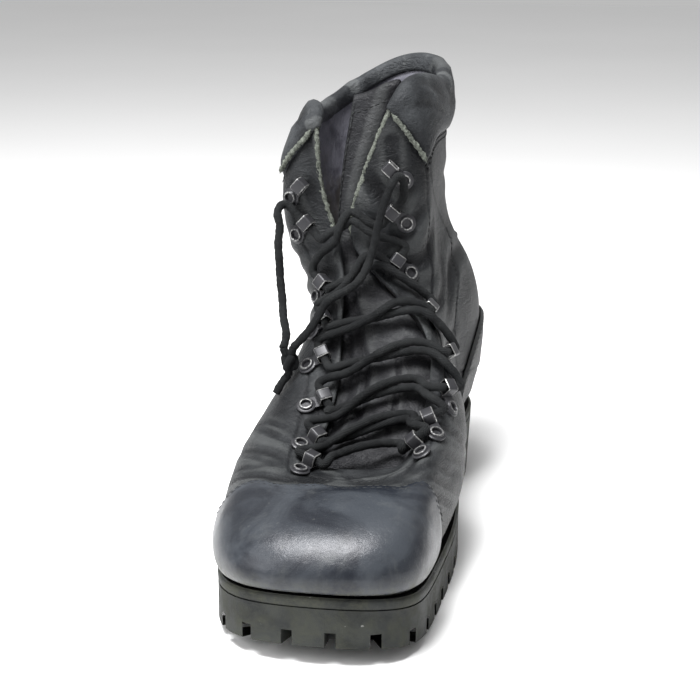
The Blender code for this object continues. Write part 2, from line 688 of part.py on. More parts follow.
def make_keeper(name, station, inset):
    tunnel, rivet = keeper_frames(station, inset)
    rings = [
        (PLATE_RADIUS, 0.0),
        (PLATE_RADIUS, PLATE_THICK),
        (RIVET_RADIUS, PLATE_THICK),
        (RIVET_RADIUS, PLATE_THICK + RIVET_HEIGHT),
        (RIVET_HOLE, PLATE_THICK + RIVET_HEIGHT),
        (RIVET_HOLE, PLATE_THICK / 2),
    ]
    angles = [2 * math.pi * (k + 0.5) / PLATE_SIDES for k in range(PLATE_SIDES)]
    points = [in_frame(rivet, r * math.cos(a), r * math.sin(a), h) for r, h in rings for a in angles]
    side = (PLATE_SIDES - 1, 2 * PLATE_SIDES - 1, PLATE_SIDES, 0)
    faces = [f for f in ring_faces(len(rings), PLATE_SIDES, False, True) if set(f) != set(side)]
    faces += [list(range(PLATE_SIDES)), list(range(len(points) - PLATE_SIDES, len(points)))]
    half = TUNNEL_WIDTH / 2
    sheet = TUNNEL_SHEET
    outline = [
        (-half - sheet, 0), (-half, 0), (half, 0), (half, TUNNEL_HEIGHT),
        (-half, TUNNEL_HEIGHT), (-half, PLATE_THICK), (-half - sheet, PLATE_THICK),
    ]
    hole = [(-half + sheet, PLATE_THICK), (half - sheet, PLATE_THICK),
            (half - sheet, TUNNEL_HEIGHT - sheet), (-half + sheet, TUNNEL_HEIGHT - sheet)]
    start = len(points)
    count = len(outline) + len(hole)
    for end in (-1, 1):
        points += [in_frame(tunnel, u, end * TUNNEL_LENGTH / 2, n) for u, n in outline + hole]
    caps = [(0, 1, 5, 6), (1, 2, 8, 7, 5), (2, 3, 9, 8), (3, 4, 10, 9), (4, 5, 7, 10)]
    for shift in (start, start + count):
        faces += [[shift + n for n in cap] for cap in caps]
    loops = [(0, 1), (1, 2), (2, 3), (3, 4), (4, 5), (5, 6), (7, 8), (8, 9), (9, 10), (10, 7)]
    faces += [(start + a, start + b, start + count + b, start + count + a) for a, b in loops]
    neck = (start, start + 6, start + count + 6, start + count)
    faces += [(neck[k], neck[(k + 1) % 4], side[(k + 1) % 4], side[k]) for k in range(4)]
    return make_object(name, points, faces, black_steel(name))


def make_keepers():
    for number, (outer, outer_inset, inner, inner_inset, _) in enumerate(KEEPERS, 1):
        make_keeper("keeper_outer_%d" % number, outer, outer_inset * TUNNEL_WIDTH)
        make_keeper("keeper_inner_%d" % number, inner, inner_inset * TUNNEL_WIDTH)


def tunnel_way(pair, side, up):
    """Points from the middle of a tunnel out of one of its ends, up 1 towards the next pair and -1 away."""
    station, inset = KEEPERS[pair][2 * side:2 * side + 2]
    frame = keeper_frames(station, inset * TUNNEL_WIDTH)[0]
    level = level_behind(station, inset * TUNNEL_WIDTH)
    onward = skin_at(station + (0.1 if side == 0 else -0.1), level) - skin_at(station, level)
    climb = math.copysign(up, up * (frame[2] @ onward))
    middle = (PLATE_THICK + TUNNEL_HEIGHT - TUNNEL_SHEET) / 2
    reach = TUNNEL_LENGTH / 2
    return [in_frame(frame, 0, climb * d, middle) for d in (CLEARANCE, reach, reach + LACE_DIAMETER)]


def smooth_line(knots, count):
    knots = np.asarray(knots)
    run = np.append(0, np.cumsum(np.linalg.norm(np.diff(knots, axis=0), axis=1)))
    return spline(run, knots, np.linspace(0, run[-1], count))


def make_strand(name, line):
    """Round strand of lace along a line of points, with flat ends."""
    way = np.gradient(line, axis=0)
    way /= np.linalg.norm(way, axis=1)[:, None]
    side = np.cross(way, way[0] + [0, 0, 1])
    for n in range(len(line)):
        onward = side[0] if n == 0 else side[n - 1] - way[n] * (side[n - 1] @ way[n])
        side[n] = onward / np.linalg.norm(onward)
    top = np.cross(side, way)
    angles = 2 * np.pi * np.arange(LACE_SIDES) / LACE_SIDES
    rings = line[:, None] + LACE_DIAMETER / 2 * (
        side[:, None] * np.cos(angles)[:, None] + top[:, None] * np.sin(angles)[:, None])
    faces = ring_faces(len(line), LACE_SIDES, False, True)
    faces += [list(range(LACE_SIDES)), list(range(len(line) * LACE_SIDES - LACE_SIDES, len(line) * LACE_SIDES))]
    return make_object(name, rings.reshape(-1, 3), faces, black_cord(name))


def over_edge(pair, side, share):
    """Points of a strand over the facing and its edge, a share of the way from one pair to the next."""
    low, high = [np.array(KEEPERS[n][2 * side:2 * side + 2]) for n in (pair, pair + 1)]
    station, inset = low + (high - low) * share
    levels = np.array([level_behind(station, inset * TUNNEL_WIDTH / 2), LEVELS])
    return list(offset_skin(np.full(2, station), levels, STRAND_HEIGHT))


def strand_line(pairs, sides, shares, middle):
    """Line of a strand from one tunnel, over both edges and the tongue, to another tunnel."""
    ends = [tunnel_way(pair, side, 1 if share > 0 and n == 0 else -1)
            for n, (pair, side, share) in enumerate(zip(pairs, sides, shares))]
    base = min(pairs)
    start, end = [way + over_edge(base, side, share) for way, side, share in zip(ends, sides, shares)]
    return smooth_line(start + [middle] + end[::-1], STRAND_RINGS)


def crossing_middle(pair, share):
    """Middle of a crossing over the tongue, and its outward direction."""
    edges = [over_edge(pair, side, share)[1] for side in (0, 1)]
    stations = [KEEPERS[pair][0], KEEPERS[pair][2]]
    out = skin_normal(np.array(stations), np.full(2, float(LEVELS))).mean(axis=0)
    out /= np.linalg.norm(out)
    return np.mean(edges, axis=0) + out * KEEPERS[pair][4] * LACE_DIAMETER, out


def make_crossings():
    middle = crossing_middle(0, -BAR_SHARE)[0]
    make_strand("lace_bar", strand_line((0, 0), (0, 1), (-BAR_SHARE, -BAR_SHARE), middle))
    for pair in range(LACED - 1):
        name = "lace_crossing_%d" % (pair + 1)
        middle, out = crossing_middle(pair, 0.5)
        rise = out * CROSSING_RISE
        pairs = pair, pair + 1
        over = make_strand(name, strand_line(pairs, (0, 1), (CROSSING_SHARE, 1 - CROSSING_SHARE), middle + rise))
        under = make_strand(name + "_under", strand_line(
            pairs, (1, 0), (CROSSING_SHARE, 1 - CROSSING_SHARE), middle - rise))
        hide(under)
        joint = over.modifiers.new("crossing", "BOOLEAN")
        joint.operation = "UNION"
        joint.solver = "MANIFOLD" if pair in NARROW_CROSSINGS else "EXACT"
        joint.object = under


def table_line(rows):
    """Points of a table of along, across and up."""
    rows = np.asarray(rows, float)
    return list(np.stack([rows[:, 1] * SHAFT_WIDTH, along_to_y(rows[:, 0]), rows[:, 2] * BOOT_HEIGHT], 1))


def make_cord(name, knots):
    """Free lace along a smooth line, with a point every two to three diameters."""
    run = np.linalg.norm(np.diff(knots, axis=0), axis=1).sum()
    line = smooth_line(knots, max(int(run / (CORD_PITCH * LACE_DIAMETER)), 3))
    curve = bpy.data.curves.new(name, "CURVE")
    curve.dimensions = "3D"
    curve.bevel_depth = LACE_DIAMETER / 2
    curve.bevel_resolution = 2
    curve.use_fill_caps = True
    path = curve.splines.new("POLY")
    path.points.add(len(line) - 1)
    for point, place in zip(path.points, line):
        point.co = (*place, 1)
    curve.materials.append(black_cord(name))
    cord = bpy.data.objects.new(name, curve)
    bpy.context.collection.objects.link(cord)
    return cord


def make_knot(middle):
    size = KNOT_SIZE * np.array([1, 1, 1.2])
    turns = 2 * np.pi * np.arange(KNOT_SIDES) / KNOT_SIDES
    heights = np.linspace(-1, 1, KNOT_RINGS + 2)[1:-1]
    points = [np.array([np.cos(a) * np.sqrt(1 - h * h), np.sin(a) * np.sqrt(1 - h * h), h])
              for h in heights for a in turns]
    faces = ring_faces(KNOT_RINGS, KNOT_SIDES, False, True)
    low, high = len(points), len(points) + 1
    last = low - KNOT_SIDES
    faces += [(low, (k + 1) % KNOT_SIDES, k) for k in range(KNOT_SIDES)]
    faces += [(high, last + k, last + (k + 1) % KNOT_SIDES) for k in range(KNOT_SIDES)]
    points += [np.array([0, 0, end]) for end in (-1.0, 1.0)]
    make_object("lace_knot", [middle + size * point for point in points], faces, black_cord("lace_knot"))


def make_lace_ends():
    make_cord("lace_end_1", tunnel_way(LACED - 1, 0, 1) + table_line(LACE_END_OUTER))
    make_cord("lace_end_2", tunnel_way(LACED - 1, 1, 1) + table_line(LACE_END_INNER))
    make_cord("lace_tail", table_line(LACE_TAIL))
    make_knot(table_line(LACE_KNOT)[0])


def remove_old_scene():
    for old in list(bpy.data.objects):
        bpy.data.objects.remove(old, do_unlink=True)


def main():
    remove_old_scene()
    make_sole()
    make_upper()
    make_overlays()
    make_insole()
    make_tongue()
    make_keepers()
    make_crossings()
    make_lace_ends()


main()
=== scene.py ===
"""Combat boot, right foot: the looks of its leather, rubber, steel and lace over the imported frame."""

import json
import math

import bmesh
import bpy
import numpy as np
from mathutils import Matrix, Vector, noise

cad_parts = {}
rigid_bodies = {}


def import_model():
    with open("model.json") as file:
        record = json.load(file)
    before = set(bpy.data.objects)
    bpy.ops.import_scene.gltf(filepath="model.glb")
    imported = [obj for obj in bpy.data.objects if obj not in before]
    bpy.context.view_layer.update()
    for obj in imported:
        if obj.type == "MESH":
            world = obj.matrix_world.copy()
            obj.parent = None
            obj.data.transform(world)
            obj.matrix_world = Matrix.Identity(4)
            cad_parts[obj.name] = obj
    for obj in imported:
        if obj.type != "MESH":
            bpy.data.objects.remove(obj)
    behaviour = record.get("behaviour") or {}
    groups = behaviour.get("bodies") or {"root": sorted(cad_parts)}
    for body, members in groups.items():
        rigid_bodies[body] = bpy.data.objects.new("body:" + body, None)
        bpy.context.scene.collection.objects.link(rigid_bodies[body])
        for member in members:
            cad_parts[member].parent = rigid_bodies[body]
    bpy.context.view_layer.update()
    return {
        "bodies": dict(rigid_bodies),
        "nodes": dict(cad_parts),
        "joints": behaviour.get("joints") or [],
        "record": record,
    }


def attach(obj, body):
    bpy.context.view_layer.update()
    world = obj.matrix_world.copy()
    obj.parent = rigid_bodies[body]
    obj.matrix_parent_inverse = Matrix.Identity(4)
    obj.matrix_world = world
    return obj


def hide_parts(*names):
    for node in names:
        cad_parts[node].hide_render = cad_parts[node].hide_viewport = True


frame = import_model()

# Camera
# A long lens a metre in front of the boot, a little to its inner side and above its collar. It looks down
# on the vamp and into the shaft.
IMAGE_WIDTH = 700
FOCAL_PIXELS = 1800
EYE = np.array([0.157, -0.967, 0.346])
YAW, PITCH = math.radians(-7.05), math.radians(15.76)
AIM_X, AIM_Y = 238.5, 354.5  # the boot's middle in a picture whose centre is 350, 350

look = np.array([math.sin(YAW) * math.cos(PITCH), math.cos(YAW) * math.cos(PITCH), -math.sin(PITCH)])
beside = np.array([math.cos(YAW), -math.sin(YAW), 0.0])
above = np.cross(beside, look)
look = look + beside * (AIM_X - 350) / FOCAL_PIXELS - above * (AIM_Y - 350) / FOCAL_PIXELS
camera = bpy.data.objects.new("camera", bpy.data.cameras.new("camera"))
bpy.context.scene.collection.objects.link(camera)
camera.location = EYE
camera.rotation_mode = "QUATERNION"
camera.rotation_quaternion = Vector(look).to_track_quat("-Z", "Y")
camera.data.sensor_width = 36
camera.data.lens = 36 * FOCAL_PIXELS / IMAGE_WIDTH
camera.data.clip_start = 0.05
bpy.context.scene.camera = camera

# Upper
# One shell of full-grain black leather with its lining, pulled over the last and turned in under the foot.
# It is worn: it creases over the ball and the ankle, and the shaft leans outwards.
SOLE_LENGTH = 0.310
BALL_WIDTH = 0.098
HEEL_HEIGHT = 0.040
FOREFOOT_HEIGHT = 0.0235
TOE_SPRING = 0.009
BOOT_HEIGHT = 0.240
SHAFT_WIDTH = 0.080
SWELL = 0.010
Y_BACK = 0.042
WALL = 0.0026
LASTING_MARGIN = 0.011
CLEARANCE = 0.0003
STATIONS = 24
LEVELS = 7

LASTING_LINE = [
    # along, outer, inner: shares of SOLE_LENGTH and BALL_WIDTH, toe first
    (0.984, 0.083, 0.083), (0.974, -0.160, 0.319), (0.938, -0.312, 0.455), (0.865, -0.412, 0.494),
    (0.745, -0.478, 0.503), (0.620, -0.492, 0.508), (0.490, -0.455, 0.470), (0.375, -0.412, 0.402),
    (0.275, -0.397, 0.385), (0.185, -0.402, 0.402), (0.100, -0.367, 0.372), (0.038, -0.237, 0.243),
    (0.014, 0.000, 0.000),
]
OPENING = [
    # along, outer, inner, outer_up, inner_up: shares of SOLE_LENGTH, SHAFT_WIDTH and BOOT_HEIGHT
    (0.716, 0.150, 0.150, 0.250, 0.250), (0.714, 0.000, 0.310, 0.248, 0.256), (0.700, -0.125, 0.400, 0.252,
                                                                               0.268),
    (0.652, -0.140, 0.430, 0.272, 0.298), (0.597, -0.140, 0.440, 0.310, 0.350), (0.535, -0.150, 0.415,
                                                                                 0.380, 0.422),
    (0.477, -0.180, 0.250, 0.480, 0.515), (0.435, -0.110, 0.000, 0.605, 0.615), (0.420, -0.200, 0.070,
                                                                                 0.740, 0.755),
    (0.394, -0.240, 0.325, 0.892, 0.945), (0.216, -0.385, 0.430, 0.858, 0.930), (0.065, -0.310, 0.360,
                                                                                 0.872, 0.945),
    (0.005, 0.040, 0.040, 0.938, 0.938),
]
SHAFT_SET = [
    # up, shift: shares of BOOT_HEIGHT and SHAFT_WIDTH
    (0.230, 0.000), (0.400, 0.050), (0.500, 0.035), (0.600, -0.065), (0.700, -0.105), (0.820, -0.115),
    (1.000, -0.115),
]
PROFILES = {
    # station: rows of across, along, up, out, from the lasting line to the opening
    0: [(0.00, 0.00, 0.00, 0.00), (0.00, 0.00, 0.27, 0.50), (0.04, 0.04, 0.57, 0.45), (0.14, 0.14, 0.83,
                                                                                       0.25),
        (0.30, 0.30, 0.97, 0.00), (0.52, 0.52, 1.03, 0.00), (0.76, 0.76, 1.02, 0.00), (1.00, 1.00, 1.00,
                                                                                       0.00)],
    4: [(0.00, 0.00, 0.00, 0.00), (0.00, 0.05, 0.20, 0.50), (0.03, 0.14, 0.41, 0.60), (0.10, 0.27, 0.61,
                                                                                       0.45),
        (0.23, 0.43, 0.78, 0.30), (0.45, 0.61, 0.90, 0.10), (0.72, 0.81, 0.97, 0.00), (1.00, 1.00, 1.00,
                                                                                       0.00)],
    6: [(0.00, 0.00, 0.00, 0.00), (0.00, 0.10, 0.15, 0.60), (0.04, 0.25, 0.32, 0.75), (0.11, 0.40, 0.49,
                                                                                       0.60),
        (0.23, 0.55, 0.66, 0.25), (0.42, 0.72, 0.81, 0.10), (0.68, 0.87, 0.93, 0.00), (1.00, 1.00, 1.00,
                                                                                       0.00)],
    7: [(0.00, 0.00, 0.00, 0.00), (0.00, 0.08, 0.13, 0.40), (0.02, 0.22, 0.28, 0.35), (0.05, 0.40, 0.44,
                                                                                       0.15),
        (0.12, 0.60, 0.61, -0.05), (0.27, 0.82, 0.77, -0.05), (0.58, 0.97, 0.91, 0.00), (1.00, 1.00, 1.00,
                                                                                         0.00)],
    9: [(0.00, 0.00, 0.00, 0.00), (0.00, 0.04, 0.11, 0.45), (0.00, 0.14, 0.24, 0.50), (0.00, 0.28, 0.38,
                                                                                       0.25),
        (0.00, 0.45, 0.52, -0.15), (0.06, 0.66, 0.67, -0.05), (0.35, 0.88, 0.84, 0.35), (1.00, 1.00, 1.00,
                                                                                         0.00)],
    10: [(0.00, 0.00, 0.00, 0.00), (0.00, 0.05, 0.11, 0.55), (0.00, 0.14, 0.24, 0.60), (0.05, 0.30, 0.38,
                                                                                        0.40),
         (0.15, 0.48, 0.52, 0.10), (0.40, 0.68, 0.68, 0.10), (0.75, 0.88, 0.86, 0.35), (1.00, 1.00, 1.00,
                                                                                        0.00)],
    12: [(0.00, 0.00, 0.00, 0.00), (0.05, 0.05, 0.10, 0.50), (0.15, 0.15, 0.21, 0.45), (0.30, 0.30, 0.34,
                                                                                        -0.05),
         (0.45, 0.45, 0.48, -0.75), (0.65, 0.65, 0.64, -0.75), (0.85, 0.85, 0.85, -0.25), (1.00, 1.00, 1.00,
                                                                                           0.00)],
}


def spline(knots, values, at, period=None):
    """Cubic curve through the knots, natural at its ends or closed over a period."""
    knots = np.asarray(knots, float)
    values = np.asarray(values, float).reshape(len(knots), -1)
    at = np.asarray(at, float)
    if period:
        knots = np.append(knots, knots[0] + period)
        values = np.vstack([values, values[:1]])
        at = (at - knots[0]) % period + knots[0]
    count = len(knots)
    step = np.diff(knots)
    slope = np.diff(values, axis=0) / step[:, None]
    matrix = np.eye(count)
    right = np.zeros_like(values)
    for i in range(1, count - 1):
        matrix[i, i - 1:i + 2] = step[i - 1], 2 * (step[i - 1] + step[i]), step[i]
        right[i] = 6 * (slope[i] - slope[i - 1])
    if period:
        matrix[0, [0, 1, count - 2]] = 2 * (step[0] + step[-1]), step[0], step[-1]
        right[0] = 6 * (slope[0] - slope[-1])
        matrix[-1, [0, -1]] = -1, 1
    bend = np.linalg.solve(matrix, right)
    i = np.clip(np.searchsorted(knots, at, side="right") - 1, 0, count - 2)
    h = step[i][:, None]
    a = (knots[i + 1] - at)[:, None] / h
    b = 1 - a
    return a * values[i] + b * values[i + 1] + ((a**3 - a) * bend[i] + (b**3 - b) * bend[i + 1]) * h * h / 6


def both_sides(table, outer, inner):
    rows = np.asarray(table, float)
    return np.concatenate([rows[:, outer], rows[-2:0:-1, inner]])


def along_to_y(along):
    return Y_BACK - along * SOLE_LENGTH


def lasting_height(y):
    along = (Y_BACK - np.asarray(y, float)) / SOLE_LENGTH
    fall = np.clip((along - 0.20) / 0.42, 0, 1)
    fall = fall * fall * (3 - 2 * fall)
    toe = np.clip((along - 0.70) / 0.30, 0, 1)
    return HEEL_HEIGHT + (FOREFOOT_HEIGHT - HEEL_HEIGHT) * fall + TOE_SPRING * toe * toe


def lasting_line(station):
    knots = np.arange(STATIONS)

    def plan(at):
        x = spline(knots, both_sides(LASTING_LINE, 1, 2) * BALL_WIDTH, at, STATIONS)[:, 0]
        y = spline(knots, along_to_y(both_sides(LASTING_LINE, 0, 0)), at, STATIONS)[:, 0]
        return np.stack([x, y], 1)

    point = plan(station)
    way = plan(station + 0.01) - plan(station - 0.01)
    way /= np.linalg.norm(way, axis=1)[:, None]
    out = np.stack([-way[:, 1], way[:, 0]], 1)
    return np.column_stack([point, lasting_height(point[:, 1])]), np.column_stack([out, np.zeros(len(out))])


def last_form(station, level):
    """The smooth skin that the leather takes from the last."""
    shape = np.shape(station)
    station, level = np.ravel(station), np.ravel(level)
    named = sorted(PROFILES)
    knots = named + [STATIONS - n for n in reversed(named[1:-1])]
    rows = np.array([PROFILES[min(k, STATIONS - k)] for k in knots], float)
    share = spline(knots, rows.reshape(len(knots), -1), station, STATIONS).reshape(len(station), LEVELS + 1,
                                                                                   4)
    share = np.einsum("nlk,nl->nk", share, spline(np.arange(LEVELS + 1), np.eye(LEVELS + 1), level))
    foot, out = lasting_line(station)
    sides = [both_sides(OPENING, 1, 2) * SHAFT_WIDTH, along_to_y(both_sides(OPENING, 0, 0)),
             both_sides(OPENING, 3, 4) * BOOT_HEIGHT]
    edge = spline(np.arange(STATIONS), np.stack(sides, 1), station, STATIONS)
    point = foot + (edge - foot) * share[:, :3] + out * (SWELL * share[:, 3:])
    rows = np.asarray(SHAFT_SET)
    up = np.clip(point[:, 2] / BOOT_HEIGHT, rows[0, 0], rows[-1, 0])
    point[:, 0] += SHAFT_WIDTH * spline(rows[:, 0], rows[:, 1], up)[:, 0]
    return point.reshape(*shape, 3)


def form_normal(station, level):
    step = 0.02
    up = last_form(station, np.minimum(level + step, LEVELS)) - last_form(station, np.maximum(level - step,
                                                                                              0))
    way = last_form(station + step, level) - last_form(station - step, level)
    normal = np.cross(up, way)
    return normal / np.linalg.norm(normal, axis=-1)[..., None]


FOLDS = [
    # depth and half width in mm, then station and level along the fold
    # creases over the ball, outer side
    (0.9, 3.0, [(4.8, 2.6), (3.9, 4.1), (3.4, 4.9), (2.9, 5.4)]),
    (0.8, 2.6, [(3.95, 2.6), (3.2, 4.0), (2.7, 4.7), (2.0, 5.4)]),
    (0.5, 2.0, [(4.2, 3.2), (3.45, 4.4), (2.8, 5.2)]),
    (0.6, 2.2, [(4.3, 2.4), (3.55, 3.85), (3.0, 4.75)]),
    (0.5, 1.8, [(4.9, 3.4), (4.2, 4.5), (3.6, 5.4)]),
    (0.4, 1.5, [(5.2, 3.0), (4.6, 4.2), (4.1, 5.1)]),
    # creases over the ball, inner side
    (1.0, 3.0, [(21.3, 4.9), (20.9, 4.5), (20.15, 3.3), (19.3, 2.0)]),
    (0.8, 2.4, [(21.6, 4.7), (21.1, 4.2), (20.1, 2.7), (19.2, 1.4)]),
    (0.6, 2.0, [(21.4, 4.1), (21.1, 3.7), (20.3, 2.4), (19.8, 1.6)]),
    (0.6, 2.2, [(20.9, 5.1), (20.5, 4.4), (19.7, 3.1), (18.8, 1.9)]),
    (0.5, 2.0, [(20.2, 5.0), (19.6, 4.0), (19.0, 2.8), (18.3, 1.9)]),
    # soft ridges between the throat and the toe cap
    (-0.7, 3.2, [(2.0, 5.0), (0.8, 5.5), (23.8, 5.6), (22.6, 5.4)]),
    (0.5, 2.6, [(1.5, 5.8), (0.4, 5.95), (23.4, 5.95), (22.5, 5.8)]),
    # ankle, outer side
    (1.4, 4.0, [(7.9, 4.6), (7.3, 5.5), (6.9, 6.2), (6.6, 6.8)]),
    (1.2, 3.4, [(7.9, 3.8), (7.2, 4.6), (6.6, 5.6), (6.2, 6.5)]),
    (1.0, 3.2, [(8.6, 4.3), (7.9, 5.1), (7.4, 6.0), (7.1, 6.7)]),
    (0.9, 3.0, [(9.4, 3.6), (8.5, 3.5), (7.6, 3.9)]),
    (1.1, 3.6, [(9.6, 4.3), (9.0, 4.5), (8.3, 5.2)]),
    # ankle and shaft, inner side
    (1.6, 4.4, [(16.0, 6.95), (16.05, 6.6), (16.2, 6.4), (16.5, 6.3)]),
    (1.0, 3.0, [(16.2, 6.9), (16.4, 6.55), (16.6, 6.4), (16.8, 6.4)]),
    (1.0, 3.4, [(15.5, 5.6), (16.0, 5.85), (16.3, 6.0), (16.7, 6.3)]),
    (1.1, 3.6, [(15.4, 5.0), (16.1, 5.2), (16.7, 5.7), (17.1, 6.3)]),
    (1.0, 3.4, [(15.6, 4.3), (16.4, 4.4), (17.1, 4.9), (17.6, 5.6)]),
    (1.2, 4.0, [(14.0, 3.9), (14.8, 3.8), (15.6, 3.9), (16.3, 4.0)]),
    (0.9, 3.0, [(16.0, 3.2), (16.9, 3.5), (17.7, 4.2), (18.3, 5.0)]),
    # wide folds round the back of the ankle
    (1.0, 3.6, [(9.6, 5.2), (10.6, 5.3), (12.0, 5.35), (13.4, 5.3), (14.3, 5.2)]),
    (0.9, 3.6, [(10.4, 3.5), (11.3, 3.4), (12.0, 3.45), (12.8, 3.4), (13.7, 3.5)]),
]
FINE_WRINKLE = 0.00042
WIDE_WRINKLE = 0.0006
SEAM_DEPTH = 0.00055
SEAM_WIDTH = 0.0009
SEAMS = {
    # station and level along each seam of the upper
    "quarter_inner": [(15.12, 6.0), (15.2, 5.6), (14.85, 4.8), (14.62, 4.2), (14.84, 3.84), (15.2, 3.64),
                      (15.8, 3.5),
                      (16.2, 2.7), (16.0, 1.9), (15.2, 1.3), (14.4, 1.0)],
    "quarter_outer": [(8.88, 6.0), (8.8, 5.6), (9.1, 4.8), (9.4, 4.2), (9.2, 3.84), (8.8, 3.64), (8.2, 3.5),
                      (7.8, 2.7), (8.0, 1.9), (8.8, 1.3), (9.6, 1.0)],
    "back_outer": [(11.35, 6.0), (11.45, 5.2), (11.55, 4.5)],
    "back_inner": [(12.65, 6.0), (12.55, 5.2), (12.45, 4.5)],
    "facing_inner": [(15.3, 5.95), (15.55, 5.45), (15.85, 5.1), (16.4, 4.9), (17.2, 4.9), (18.2, 5.2),
                     (19.2, 5.2),
                     (20.2, 5.0), (20.9, 5.15), (21.5, 5.9), (22.5, 6.45), (23.3, 6.2), (24.3, 6.16), (25.5,
                                                                                                       6.16)],
    "facing_outer": [(8.4, 6.3), (8.0, 6.1), (7.4, 5.9), (6.8, 5.7), (6.0, 5.6), (5.2, 5.6), (4.5, 5.7),
                     (3.6, 5.7),
                     (2.6, 5.6), (1.5, 6.16)],
}


def surface_line(rows, count):
    """Stations and levels of a smooth line on the leather."""
    rows = np.asarray(rows, float)
    run = np.append(0, np.cumsum(np.linalg.norm(np.diff(rows, axis=0), axis=1)))
    line = spline(run, rows, np.linspace(0, run[-1], count))
    return line[:, 0], np.minimum(line[:, 1], LEVELS)


def distance_to_line(points, line):
    """Distance of each point to a line of points, and its share of the way along it."""
    best = np.full(len(points), 1.0)
    share = np.zeros(len(points))
    near = np.flatnonzero(((points > line.min(0) - 0.02) & (points < line.max(0) + 0.02)).all(1))
    here = points[near]
    nearest = best[near]
    place = share[near]
    for n in range(len(line) - 1):
        way = line[n + 1] - line[n]
        t = np.clip((here - line[n]) @ way / (way @ way), 0, 1)
        gap = np.linalg.norm(here - line[n] - t[:, None] * way, axis=1)
        closer = gap < nearest
        nearest = np.where(closer, gap, nearest)
        place = np.where(closer, (n + t) / (len(line) - 1), place)
    best[near] = nearest
    share[near] = place
    return best, share


WEAR = 1.45  # how far use has deepened the folds
fold_lines = [(WEAR * depth, width, last_form(*surface_line(rows, 20))) for depth, width, rows in FOLDS]
seam_lines = {name: last_form(*surface_line(rows, 60)) for name, rows in SEAMS.items()}


FLEX_MIDDLE = (-0.003, 0.1395)
FLEX_HALF = (0.0365, 0.0160)
FLEX_FRONT = 0.004
FLEX_RIB = 0.0066
FLEX_TILT = 0.12


def flex_panel(points):
    """Height and hollows of the ribbed, piped oval that lets the back of the ankle bend."""
    x, z = points[:, 0] - FLEX_MIDDLE[0], points[:, 2] - FLEX_MIDDLE[1]
    reach = np.sqrt((x / FLEX_HALF[0]) ** 2 + (z / FLEX_HALF[1]) ** 2)
    at_back = np.clip((points[:, 1] - FLEX_FRONT) / 0.006, 0, 1)
    inside = np.clip((1 - reach) / 0.22, 0, 1) * at_back
    pipe = np.exp(-((reach - 1) / 0.085) ** 2) * at_back
    groove = np.exp(-((reach - 0.84) / 0.06) ** 2) * at_back
    rib = np.cos(2 * np.pi * (z + FLEX_TILT * x) / FLEX_RIB)
    height = 0.0021 * pipe + inside * (0.0013 * rib - 0.0022) - 0.0012 * groove
    return height, 1.0 * groove - 0.5 * pipe + inside * (0.25 - 0.55 * rib)


def creasing(points):
    """Height that folds, seams and small wrinkles add to the skin, and how deep in a fold each point lies."""
    height = np.zeros(len(points))
    hollow = np.zeros(len(points))
    for depth, width, line in fold_lines:
        gap, share = distance_to_line(points, line)
        fade = np.sqrt(np.clip(np.sin(np.pi * np.clip(share, 0.02, 0.98)), 0, 1))
        gap = gap * 1000 / width
        trough = np.exp(-gap**2) * fade
        shoulder = np.exp(-((gap - 2.0) / 1.0) ** 2) * fade
        height += depth / 1000 * (0.45 * shoulder - trough)
        hollow += math.copysign(min(abs(depth), 1.0), depth) * (trough - 0.5 * shoulder)
    for line in seam_lines.values():
        gap = distance_to_line(points, line)[0] / SEAM_WIDTH
        height -= SEAM_DEPTH * np.exp(-gap**2)
        hollow += 0.7 * np.exp(-gap**2)
    panel, panel_hollow = flex_panel(points)
    height += panel
    hollow += panel_hollow
    for n, (x, y, z) in enumerate(points):
        fine = noise.noise((x * 90, y * 90, z * 130))
        wide = noise.noise((x * 30 + 7, y * 30, z * 38))
        height[n] += FINE_WRINKLE * fine * abs(wide) * 1.6 + WIDE_WRINKLE * wide
    return height, hollow


def worn_skin(station, level, lift=0.0):
    """Points of the creased leather at a lift above it, and the hollows in them."""
    shape = np.shape(station)
    points = last_form(station, level).reshape(-1, 3)
    normals = form_normal(station, level).reshape(-1, 3)
    height, hollow = creasing(points)
    calm = np.clip(np.ravel(level) / 0.5, 0, 1)
    points = points + normals * (height * calm + np.ravel(lift))[:, None]
    return points.reshape(*shape, 3), hollow.reshape(shape)


def grid_faces(rows, columns, close_rows=False, close_columns=False):
    i, j = np.meshgrid(np.arange(rows if close_rows else rows - 1),
                       np.arange(columns if close_columns else columns - 1), indexing="ij")
    i, j = i.ravel(), j.ravel()
    below, after = (i + 1) % rows, (j + 1) % columns
    return np.stack([i * columns + j, i * columns + after, below * columns + after, below * columns + j], 1)


def sew_mesh(name, points, faces, finishes, finish_of=None, **values):
    """Piece of the object from points and faces, with its materials and its named values for each point."""
    mesh = bpy.data.meshes.new(name)
    mesh.from_pydata(np.asarray(points).reshape(-1, 3).tolist(), [], [list(map(int, f)) for f in faces])
    for key, value in values.items():
        layer = mesh.attributes.new(key, "FLOAT", "POINT")
        layer.data.foreach_set("value", np.ravel(value).astype(np.float32))
    for finish in finishes:
        mesh.materials.append(finish)
    if finish_of is not None:
        mesh.polygons.foreach_set("material_index", np.asarray(finish_of, np.int32))
    work = bmesh.new()
    work.from_mesh(mesh)
    if work.calc_volume(signed=True) < 0:
        bmesh.ops.reverse_faces(work, faces=work.faces)
    work.to_mesh(mesh)
    work.free()
    mesh.shade_smooth()
    piece = bpy.data.objects.new(name, mesh)
    bpy.context.scene.collection.objects.link(piece)
    return piece


